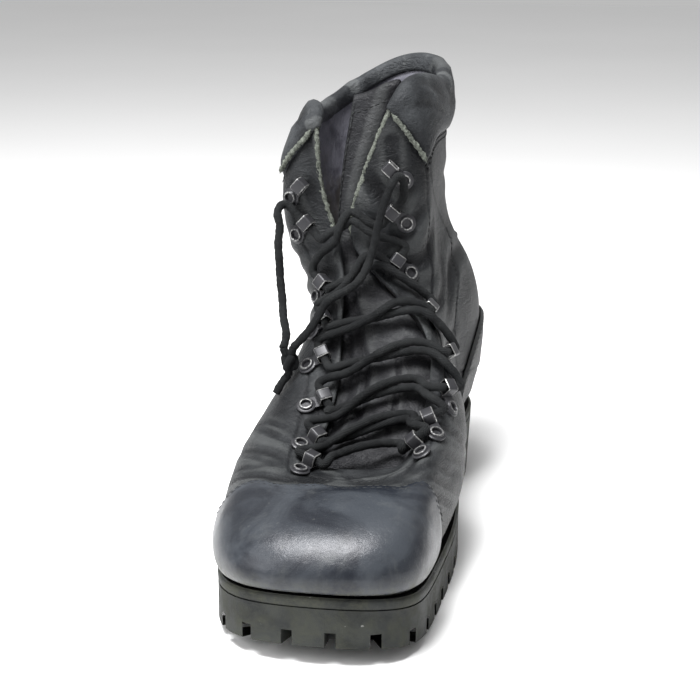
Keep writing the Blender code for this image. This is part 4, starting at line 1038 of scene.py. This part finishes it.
around = np.linspace(0, STATIONS / 2, 121)
welt = rubber_layer("midsole", around, [
    (0.0, WELT_RIM - 0.0006, 0.0), (0.12, WELT_RIM, 0.0), (0.70, WELT_RIM + 0.0002, 0.0),
    (0.90, WELT_RIM - 0.0003, 0.0), (1.0, WELT_RIM - 0.0012, 0.0)],
    midsole_bottom, lambda y: lasting_height(y) - CLEARANCE, black_rubber("welt_rubber", 0.75))
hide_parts("midsole")
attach(welt, "root")

tread = black_rubber("tread_rubber", 0.45)
front_part = np.append(around[around < BREAST], BREAST)
outsole = rubber_layer("outsole", front_part, [(0.0, WELT_RIM, 0.0), (1.0, WELT_RIM, 0.0)],
                       tread_height, sole_top, tread)
cut_lugs(outsole, notch_blocks(-NOTCH_END, NOTCH_END, tread_height)
         + groove_blocks(np.linspace(*along_to_y(np.array(TREAD_SPAN)), TREAD_ROWS), tread_height))
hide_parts("outsole")
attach(outsole, "root")

fine = np.linspace(0, STATIONS / 2, 1200)
depth = lasting_line(fine)[0][:, 1]
start = np.interp(np.interp(BREAST, fine, depth) + 2 * CLEARANCE, depth, fine)
heel = rubber_layer("heel", np.append(start, around[around > start]),
                    [(0.0, WELT_RIM - HEEL_TAPER, 0.0), (1.0, WELT_RIM, 0.0)], flat_ground, sole_top, tread)
cut_lugs(heel, notch_blocks(start + NOTCH_START, STATIONS - start - NOTCH_START, flat_ground)
         + groove_blocks([along_to_y(HEEL_GROOVE)], flat_ground))
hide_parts("heel")
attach(heel, "root")

# Lace keepers
# Pressed steel, painted black: a round plate held by a hollow rivet, and a square tunnel for the lace. The
# paint is worn off at the tunnel's rims and on the rivet.
KEEPER_GAP = 0.0009
KEEPER_REACH = 0.0092
PLATE_THICK = 0.0008
PLATE_RADIUS = 0.0048
RIVET_RADIUS = 0.0036
RIVET_HOLE = 0.0023
RIVET_HEIGHT = 0.0012
TUNNEL_LENGTH = 0.0060
TUNNEL_WIDTH = 0.0068
TUNNEL_HEIGHT = 0.0066
TUNNEL_SHEET = 0.0006
KEEPERS = [
    # outer station, outer inset, inner station, inner inset, rise
    (2.00, 1.0, 21.00, 2.0, 0.6), (3.20, 0.9, 20.20, 2.2, 1.2), (4.40, 0.9, 19.30, 2.2, 0.9),
    (5.35, 1.2, 18.55, 2.2, 0.6), (6.05, 1.3, 17.90, 2.2, 0.5), (6.70, 1.6, 16.85, 3.7, 0.3),
    (7.70, 1.8, 16.10, 3.0, 0.0), (8.20, 1.8, 15.72, 1.8, 0.0),
]


def form_at(station, level):
    return last_form(np.array([station]), np.array([level]))[0]


def level_behind(station, distance):
    levels = np.linspace(LEVELS, LEVELS - 3, 121)
    line = last_form(np.full(len(levels), float(station)), levels)
    run = np.append(0, np.cumsum(np.linalg.norm(np.diff(line, axis=0), axis=1)))
    return np.interp(distance, run, levels)


def seat(station, level, toward):
    """Frame on the leather: point, direction to the throat, direction across it, outward direction."""
    place = np.array([station]), np.array([level])
    normal = form_normal(*place)[0]
    toward = toward - normal * (toward @ normal)
    toward /= np.linalg.norm(toward)
    return form_at(station, level) + normal * KEEPER_GAP, toward, np.cross(normal, toward), normal


def keeper_frames(station, inset):
    level = level_behind(station, inset)
    up = form_at(station, level) - form_at(station, level - 0.05)
    toward = seat(station, level, up)[1]
    target = form_at(station, level) - toward * KEEPER_REACH
    at, height, step = station, level, 0.01
    for _ in range(6):
        here = form_at(at, height)
        along = (form_at(at + step, height) - here) / step
        rise = (here - form_at(at, height - step)) / step
        move = np.linalg.lstsq(np.stack([along, rise], 1), target - here, rcond=None)[0]
        at += move[0]
        height = min(height + move[1], LEVELS)
    return seat(station, level, toward), seat(at, height, toward)


def in_frame(frame, toward, beside, out):
    point, u, w, n = frame
    return point + u * toward + w * beside + n * out


steel = Finish("painted_steel", 0.38, gloss=0.5)
paint_wear = steel.span(steel.reckon(steel.value("worn"), steel.reckon(steel.noise(900, 6, 0.7), 0.9),
                                     "ADD"), 0.86, 1.18)
steel.paint(steel.blend(paint_wear, (0.018, 0.018, 0.020), (0.42, 0.42, 0.41)))
steel.join(paint_wear, steel.shader.inputs["Metallic"])
steel.emboss(steel.noise(1500, 4), 0.0001, 0.4)

TURNS = 28
TUNNEL_BEND = 0.0011
RIM_ROUND = 0.0004
EDGE_ROUND = 0.0003
STRAP_HALF = 0.0034
STRAP_TAPER = 0.88
points, faces, worn = [], [], []
for outer, outer_inset, inner, inner_inset, _ in KEEPERS:
    for station, inset in ((outer, outer_inset), (inner, inner_inset)):
        tunnel, rivet = keeper_frames(station, inset * TUNNEL_WIDTH)
        top = PLATE_THICK + RIVET_HEIGHT
        rings = [(0.0002, PLATE_THICK / 2, 0), (RIVET_HOLE, PLATE_THICK / 2, 0), (RIVET_HOLE, top - RIM_ROUND,
                                                                                  0),
                 (RIVET_HOLE + EDGE_ROUND, top, 1), (RIVET_RADIUS - RIM_ROUND, top, 0.9), (RIVET_RADIUS,
                                                                                    top - RIM_ROUND, 0.3),
                 (RIVET_RADIUS + 0.0001, PLATE_THICK + 0.0001, 0), (PLATE_RADIUS - RIM_ROUND, PLATE_THICK, 0.2),
                 (PLATE_RADIUS, PLATE_THICK - EDGE_ROUND, 0.5), (PLATE_RADIUS, 0.0, 0), (0.0002, 0.0, 0)]
        start = len(points)
        for radius, height, wear in rings:
            for k in range(TURNS):
                angle = 2 * math.pi * k / TURNS
                points.append(in_frame(rivet, radius * math.cos(angle), radius * math.sin(angle), height))
                worn.append(wear * 0.55)
        faces += (grid_faces(len(rings), TURNS, True, True) + start).tolist()
        start = len(points)
        for seat_frame, along, narrow in ((rivet, PLATE_RADIUS * 0.6, 1),
                                          (tunnel, -TUNNEL_WIDTH / 2 + EDGE_ROUND, STRAP_TAPER)):
            for w, h in ((1, 0), (1, 1), (-1, 1), (-1, 0)):
                points.append(in_frame(seat_frame, along, w * STRAP_HALF * narrow, h * PLATE_THICK))
                worn.append(0.1)
        faces += (grid_faces(2, 4, False, True) + start).tolist()
        half, tall = TUNNEL_WIDTH / 2, TUNNEL_HEIGHT
        outline = []
        for cx, cz, turn in ((half - TUNNEL_BEND, TUNNEL_BEND, -0.5), (half - TUNNEL_BEND,
                                                                       tall - TUNNEL_BEND, 0.0),
                             (-half + TUNNEL_BEND, tall - TUNNEL_BEND, 0.5), (-half + TUNNEL_BEND,
                                                                              TUNNEL_BEND, 1.0)):
            for q in np.linspace(0, 0.5, 5):
                angle = math.pi * (turn + q)
                outline.append((cx, cz, math.cos(angle), math.sin(angle)))
        ends = TUNNEL_LENGTH / 2
        lengths = [(-ends + EDGE_ROUND, 0.0, 0.9), (-ends, EDGE_ROUND, 1.1), (-ends + EDGE_ROUND, TUNNEL_SHEET, 0.7),
                   (ends - EDGE_ROUND, TUNNEL_SHEET, 0.7), (ends, EDGE_ROUND, 1.1), (ends - EDGE_ROUND, 0.0, 0.9),
                   (ends - 0.0012, 0.0, 0.15), (-ends + 0.0012, 0.0, 0.15)]
        start = len(points)
        for along, sink, wear in lengths:
            for cx, cz, c, z in outline:
                reach = TUNNEL_BEND - sink
                points.append(in_frame(tunnel, cx + reach * c, along, cz + reach * z))
                worn.append(wear * 0.62)
        faces += (grid_faces(len(lengths), len(outline), True, True) + start).tolist()
keepers = sew_mesh("keepers", points, faces, [steel.material], worn=worn)
work = bmesh.new()
work.from_mesh(keepers.data)
bmesh.ops.remove_doubles(work, verts=work.verts, dist=1e-7)
bmesh.ops.recalc_face_normals(work, faces=work.faces)
work.to_mesh(keepers.data)
work.free()
keepers.data.set_sharp_from_angle(angle=math.radians(50))
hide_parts(*["keeper_%s_%d" % (side, n) for side in ("outer", "inner") for n in range(1, 9)])
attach(keepers, "root")

# Lace
# One braided cotton lace of 4.2 mm, dull and furry from wear. It crosses over the tongue between each pair of
# keepers, and its ends hang to a knot at the outer side.
LACE_DIAMETER = 0.0042
STRAND_HEIGHT = 0.0060
CROSSING_RISE = 0.0015
CROSSING_SHARE = 0.40
BAR_SHARE = 0.75
LACED = 7
KNOT_SIZE = 0.0048
LACE_SIDES = 14
LACE_END_OUTER = [
    # along, across, up: shares of SOLE_LENGTH, SHAFT_WIDTH and BOOT_HEIGHT
    (0.432, -0.545, 0.698), (0.442, -0.570, 0.684), (0.445, -0.555, 0.660), (0.448, -0.560, 0.629),
    (0.455, -0.550, 0.581), (0.461, -0.540, 0.545), (0.475, -0.515, 0.505), (0.495, -0.490, 0.470),
    (0.518, -0.455, 0.442), (0.535, -0.460, 0.422),
]
LACE_END_INNER = [
    (0.445, 0.210, 0.770), (0.462, 0.130, 0.720), (0.485, 0.060, 0.610), (0.500, -0.040, 0.550),
    (0.506, -0.199, 0.516), (0.520, -0.262, 0.480), (0.530, -0.330, 0.448), (0.535, -0.396, 0.424),
]
LACE_KNOT = [(0.535, -0.421, 0.392)]
LACE_TAIL = [(0.535, -0.428, 0.3645), (0.543, -0.465, 0.349), (0.553, -0.492, 0.330)]

cotton = Finish("braided_lace", 0.95)
uv = cotton.node("UVMap").outputs["UV"]
split = cotton.node("SeparateXYZ")
cotton.join(uv, split.inputs[0])
turn, run = split.outputs["X"], split.outputs["Y"]
strand_a = cotton.reckon(cotton.reckon(cotton.reckon(turn, 6.0), cotton.reckon(run, 6.0), "ADD"), 2 * math.pi)
strand_b = cotton.reckon(cotton.reckon(cotton.reckon(turn, 6.0), cotton.reckon(run, 6.0), "SUBTRACT"),
                         2 * math.pi)
braid = cotton.reckon(cotton.reckon(strand_a, 0.0, "SINE"), cotton.reckon(strand_b, 0.0, "SINE"))
braid_height = cotton.reckon(braid, 0.5, "ABSOLUTE")
lint = cotton.noise(420, 8, 0.8, 0.6)
lace_colour = cotton.blend(cotton.span(cotton.noise(60, 5), 0.3, 0.7), (0.007, 0.0075, 0.008), (0.016,
    0.017, 0.0175))
lace_colour = cotton.blend(cotton.span(lint, 0.50, 0.78, 0.0, 0.55), lace_colour, (0.048, 0.050, 0.050))
cotton.paint(lace_colour)
cotton.emboss(braid_height, 0.0005, 0.8)
cotton.emboss(lint, 0.0006, 0.7)


def tunnel_way(pair, side, up):
    station, inset = KEEPERS[pair][2 * side:2 * side + 2]
    tunnel = keeper_frames(station, inset * TUNNEL_WIDTH)[0]
    level = level_behind(station, inset * TUNNEL_WIDTH)
    onward = form_at(station + (0.1 if side == 0 else -0.1), level) - form_at(station, level)
    climb = math.copysign(up, up * (tunnel[2] @ onward))
    middle = (PLATE_THICK + TUNNEL_HEIGHT - TUNNEL_SHEET) / 2
    reach = TUNNEL_LENGTH / 2
    return [in_frame(tunnel, 0, climb * d, middle) for d in (CLEARANCE, reach, reach + LACE_DIAMETER)]


def over_edge(pair, side, share):
    low, high = [np.array(KEEPERS[n][2 * side:2 * side + 2]) for n in (pair, pair + 1)]
    station, inset = low + (high - low) * share
    at = np.array([level_behind(station, inset * TUNNEL_WIDTH / 2), LEVELS])
    stations = np.full(2, station)
    return list(last_form(stations, at) + form_normal(stations, at) * STRAND_HEIGHT)


def strand_line(pairs, sides, shares, middle):
    ends = [tunnel_way(pair, side, 1 if share > 0 and n == 0 else -1)
            for n, (pair, side, share) in enumerate(zip(pairs, sides, shares))]
    base = min(pairs)
    start, end = [way + over_edge(base, side, share) for way, side, share in zip(ends, sides, shares)]
    return smooth_line(start + [middle] + end[::-1], 90)


def smooth_line(knots, count):
    knots = np.asarray(knots)
    run = np.append(0, np.cumsum(np.linalg.norm(np.diff(knots, axis=0), axis=1)))
    return spline(run, knots, np.linspace(0, run[-1], count))


def crossing_middle(pair, share):
    edges = [over_edge(pair, side, share)[1] for side in (0, 1)]
    stations = np.array([KEEPERS[pair][0], KEEPERS[pair][2]])
    out = form_normal(stations, np.full(2, float(LEVELS))).mean(axis=0)
    out /= np.linalg.norm(out)
    return np.mean(edges, axis=0) + out * KEEPERS[pair][4] * LACE_DIAMETER, out


def lace_piece(name, lines, thickness=LACE_DIAMETER):
    """Round lace along some lines of points, with its turn and run in a UV map."""
    points, faces, uvs = [], [], []
    for line in lines:
        way = np.gradient(line, axis=0)
        way /= np.linalg.norm(way, axis=1)[:, None]
        side = np.cross(way, way[0] + [0.1, 0.2, 1])
        for n in range(len(line)):
            onward = side[0] if n == 0 else side[n - 1] - way[n] * (side[n - 1] @ way[n])
            side[n] = onward / np.linalg.norm(onward)
        top = np.cross(side, way)
        run = np.append(0, np.cumsum(np.linalg.norm(np.diff(line, axis=0), axis=1)))
        angles = 2 * np.pi * np.arange(LACE_SIDES) / LACE_SIDES
        radius = np.full((len(line), 1, 1), thickness / 2)
        radius[:, 0, 0] *= 1 + 0.05 * np.sin(run * 900) + 0.04 * np.sin(run * 2300 + 1)
        rings = line[:, None] + radius * (
            side[:, None] * np.cos(angles)[:, None] + top[:, None] * np.sin(angles)[:, None])
        start = sum(len(p) for p in points)
        points.append(rings.reshape(-1, 3))
        quads = grid_faces(len(line), LACE_SIDES, False, True)
        faces += (quads + start).tolist()
        for a, b, c, d in quads:
            u, w = a % LACE_SIDES / LACE_SIDES, run[a // LACE_SIDES] / (math.pi * thickness)
            u2, w2 = u + 1 / LACE_SIDES, run[c // LACE_SIDES] / (math.pi * thickness)
            uvs += [(u, w), (u2, w), (u2, w2), (u, w2)]
        for ring in (np.arange(LACE_SIDES)[::-1], np.arange(LACE_SIDES) + (len(line) - 1) * LACE_SIDES):
            faces.append((ring + start).tolist())
            uvs += [(0.0, 0.0)] * LACE_SIDES
    mesh = bpy.data.meshes.new(name)
    mesh.from_pydata(np.concatenate(points).tolist(), [], faces)
    layer = mesh.uv_layers.new(name="UVMap")
    layer.data.foreach_set("uv", np.array(uvs, np.float32).ravel())
    mesh.materials.append(cotton.material)
    work = bmesh.new()
    work.from_mesh(mesh)
    bmesh.ops.recalc_face_normals(work, faces=work.faces)
    work.to_mesh(mesh)
    work.free()
    mesh.shade_smooth()
    piece = bpy.data.objects.new(name, mesh)
    bpy.context.scene.collection.objects.link(piece)
    return piece


strands = [strand_line((0, 0), (0, 1), (-BAR_SHARE, -BAR_SHARE), crossing_middle(0, -BAR_SHARE)[0])]
for pair in range(LACED - 1):
    middle, out = crossing_middle(pair, 0.5)
    rise = out * (CROSSING_RISE + 0.0004)
    pairs, shares = (pair, pair + 1), (CROSSING_SHARE, 1 - CROSSING_SHARE)
    strands.append(strand_line(pairs, (0, 1), shares, middle + rise))
    strands.append(strand_line(pairs, (1, 0), shares, middle - rise))
crossings = lace_piece("lace_crossings", strands)
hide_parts("lace_bar", *["lace_crossing_%d" % n for n in range(1, LACED)])
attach(crossings, "root")


def table_line(rows):
    rows = np.asarray(rows, float)
    return list(np.stack([rows[:, 1] * SHAFT_WIDTH, along_to_y(rows[:, 0]), rows[:, 2] * BOOT_HEIGHT], 1))


knot_at = table_line(LACE_KNOT)[0]
turns = np.linspace(0, 2 * np.pi, 70)
wrap = np.stack([np.sin(turns) + 1.6 * np.sin(2 * turns), np.cos(turns) - 1.6 * np.cos(2 * turns),
                 -1.3 * np.sin(3 * turns)], 1)
wrap = knot_at + wrap * KNOT_SIZE * 0.24 * np.array([1.0, 1.0, 1.5])
tail = smooth_line(table_line(LACE_TAIL), 24)
leads = [smooth_line([last, (last + knot_at) / 2, knot_at], 12)
         for last in (table_line(LACE_END_OUTER)[-1], table_line(LACE_END_INNER)[-1])]
leads.append(smooth_line([tail[0], (tail[0] + knot_at) / 2, knot_at], 12))
knot = lace_piece("lace_knot", [wrap, tail] + leads, LACE_DIAMETER * 0.96)
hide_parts("lace_knot", "lace_tail")
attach(knot, "root")

ends = []
for name, side, table in (("lace_end_1", 0, LACE_END_OUTER), ("lace_end_2", 1, LACE_END_INNER)):
    line = smooth_line(tunnel_way(LACED - 1, side, 1) + table_line(table), 160)
    end = lace_piece(name, [line])
    length = float(np.linalg.norm(np.diff(line, axis=0), axis=1).sum())
    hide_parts(name)
    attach(end, "root")
    ends.append((end, line, length))
for n, (end, line, length) in enumerate(ends):
    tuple(line[0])

# Stitches
# Heavy black thread, one row or two along each seam of the upper, round the toe cap, the counter and the
# collar, and under the bound edge of the tongue.
STITCH_PITCH = 0.0034
STITCH_LENGTH = 0.0025
STITCH_THICK = 0.00055
ROW_APART = 0.0022
STITCH_INSET = 0.0022  # from the edge of cap or counter to its first row
COLLAR_ROWS = (5.93, 5.86)  # levels of the rows under the collar


def stitch_tree():
    """Puts one thread stitch at every pitch along the edges that it is given."""
    tree = bpy.data.node_groups.new("thread_stitches", "GeometryNodeTree")
    face = tree.interface
    face.new_socket("Seam", in_out="INPUT", socket_type="NodeSocketGeometry")
    for name in ("Pitch", "Length", "Thickness"):
        face.new_socket(name, in_out="INPUT", socket_type="NodeSocketFloat")
    face.new_socket("Thread", in_out="INPUT", socket_type="NodeSocketMaterial")
    face.new_socket("Stitches", in_out="OUTPUT", socket_type="NodeSocketGeometry")
    node, join = tree.nodes.new, tree.links.new
    given, result = node("NodeGroupInput"), node("NodeGroupOutput")
    curve = node("GeometryNodeMeshToCurve")
    spaced = node("GeometryNodeResampleCurve")
    spaced.mode = "LENGTH"
    join(given.outputs["Seam"], curve.inputs["Mesh"])
    join(curve.outputs["Curve"], spaced.inputs["Curve"])
    join(given.outputs["Pitch"], spaced.inputs["Length"])
    thread = node("GeometryNodeMeshUVSphere")
    thread.inputs["Segments"].default_value = 6
    thread.inputs["Rings"].default_value = 4
    thread.inputs["Radius"].default_value = 0.5
    shape = node("ShaderNodeCombineXYZ")
    for end, source in zip(shape.inputs, ("Thickness", "Thickness", "Length")):
        join(given.outputs[source], end)
    grown = node("GeometryNodeTransform")
    join(thread.outputs["Mesh"], grown.inputs["Geometry"])
    join(shape.outputs[0], grown.inputs["Scale"])
    tangent = node("GeometryNodeInputTangent")
    turned = node("FunctionNodeAlignRotationToVector")
    turned.axis = "Z"
    join(tangent.outputs[0], turned.inputs["Vector"])
    put = node("GeometryNodeInstanceOnPoints")
    join(spaced.outputs["Curve"], put.inputs["Points"])
    join(grown.outputs["Geometry"], put.inputs["Instance"])
    join(turned.outputs["Rotation"], put.inputs["Rotation"])
    real = node("GeometryNodeRealizeInstances")
    smooth = node("GeometryNodeSetShadeSmooth")
    coat = node("GeometryNodeSetMaterial")
    join(put.outputs["Instances"], real.inputs["Geometry"])
    join(real.outputs["Geometry"], smooth.inputs["Geometry"])
    join(smooth.outputs["Geometry"], coat.inputs["Geometry"])
    join(given.outputs["Thread"], coat.inputs["Material"])
    join(coat.outputs["Geometry"], result.inputs["Stitches"])
    return tree


def apply_tree(piece, tree, **inputs):
    """Runs a tree on a piece with named inputs and keeps the result as its plain mesh."""
    step = piece.modifiers.new("nodes", "NODES")
    step.node_group = tree
    for item in tree.interface.items_tree:
        if item.in_out == "INPUT" and item.name.replace(" ", "_") in inputs:
            step[item.identifier] = inputs[item.name.replace(" ", "_")]
    settle(piece)


def seam_object(name, lines):
    mesh = bpy.data.meshes.new(name)
    points = np.concatenate(lines)
    edges, start = [], 0
    for line in lines:
        edges += [(start + n, start + n + 1) for n in range(len(line) - 1)]
        start += len(line)
    mesh.from_pydata(points.tolist(), edges, [])
    piece = bpy.data.objects.new(name, mesh)
    bpy.context.scene.collection.objects.link(piece)
    return piece


def shifted_row(stations, levels, apart, lift):
    """Row of stitches beside a line on the leather."""
    points = last_form(stations, levels)
    normals = form_normal(stations, levels)
    way = np.gradient(points, axis=0)
    aside = np.cross(normals, way)
    aside /= np.linalg.norm(aside, axis=1)[:, None]
    surface, _ = worn_skin(stations, levels, lift)
    return surface + aside * apart


rows = []
for name, table in SEAMS.items():
    at = surface_line(table, 160)
    rows.append(shifted_row(*at, ROW_APART / 2, 0.0002))
    if name.startswith(("quarter", "back")):
        rows.append(shifted_row(*at, -ROW_APART / 2, 0.0002))
for table, first, last in ((TOE_CAP_TOP, -TOE_CAP_TOP[-1][0], TOE_CAP_TOP[-1][0]),
                           (COUNTER_TOP, COUNTER_TOP[0][0], STATIONS - COUNTER_TOP[0][0])):
    at = np.linspace(first, last, 260)
    top = edge_level(table, at)
    for extra in (0.0, ROW_APART):
        height = last_form(at, top) - last_form(at, top - 0.1)
        drop_level = (STITCH_INSET + extra) / (np.linalg.norm(height, axis=1) / 0.1)
        rows.append(worn_skin(at, top - drop_level, OVERLAY_GAP + OVERLAY)[0])
at = np.linspace(COLLAR_ENDS + 0.05, STATIONS - COLLAR_ENDS - 0.05, 260)
for level in COLLAR_ROWS:
    rows.append(worn_skin(at, np.full(len(at), level), 0.0002)[0])
edge_row = [front_face[i, j] for i, j in [(n, 3) for n in range(110, ROWS - 5)]
            + [(ROWS - 5, n) for n in range(3, COLUMNS - 3)] + [(n, COLUMNS - 4) for n in range(ROWS - 5,
                                                                                                110, -1)]]
rows.append(np.array(edge_row) + normal[110, 3] * 0.0001)
thread = Finish("black_thread", 0.8)
thread.paint(thread.blend(thread.span(thread.noise(200, 4), 0.3, 0.7), (0.009, 0.009, 0.0095), (0.038,
    0.040, 0.040)))
thread.emboss(thread.noise(3000, 3), 0.0001, 0.6)
stitches = seam_object("stitches", rows)
apply_tree(stitches, stitch_tree(), Pitch=STITCH_PITCH, Length=STITCH_LENGTH, Thickness=STITCH_THICK,
           Thread=thread.material)
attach(stitches, "root")

# Floor and light
# A pale floor under soft light from a large panel above and in front, with a white surround.
floor = sew_mesh("floor", [(-3, -3, 0), (3, -3, 0), (3, 3, 0), (-3, 3, 0)], [(0, 1, 2, 3)], [])
pale = Finish("pale_floor", 0.9)
pale.paint(pale.blend(pale.span(pale.noise(2.0, 2), 0.3, 0.7), (0.86, 0.86, 0.86), (0.88, 0.88, 0.88)))
floor.data.materials.append(pale.material)
world = bpy.data.worlds.new("surround")
world.use_nodes = True
world.node_tree.nodes["Background"].inputs["Color"].default_value = (1, 1, 1, 1)
world.node_tree.nodes["Background"].inputs["Strength"].default_value = 0.5
bpy.context.scene.world = world
for name, place, size, power in (("panel_above", (-0.16, -0.42, 1.20), 0.55, 40.0),
                                 ("panel_outer", (-0.9, -0.9, 0.7), 0.8, 9.0)):
    lamp = bpy.data.lights.new(name, "AREA")
    lamp.shape = "SQUARE"
    lamp.size = size
    lamp.energy = power
    panel = bpy.data.objects.new(name, lamp)
    bpy.context.scene.collection.objects.link(panel)
    panel.location = place
    aim = Vector((0.0, -0.12, 0.10)) - Vector(place)
    panel.rotation_mode = "QUATERNION"
    panel.rotation_quaternion = aim.to_track_quat("-Z", "Y")
bpy.context.scene.view_settings.view_transform = "Standard"
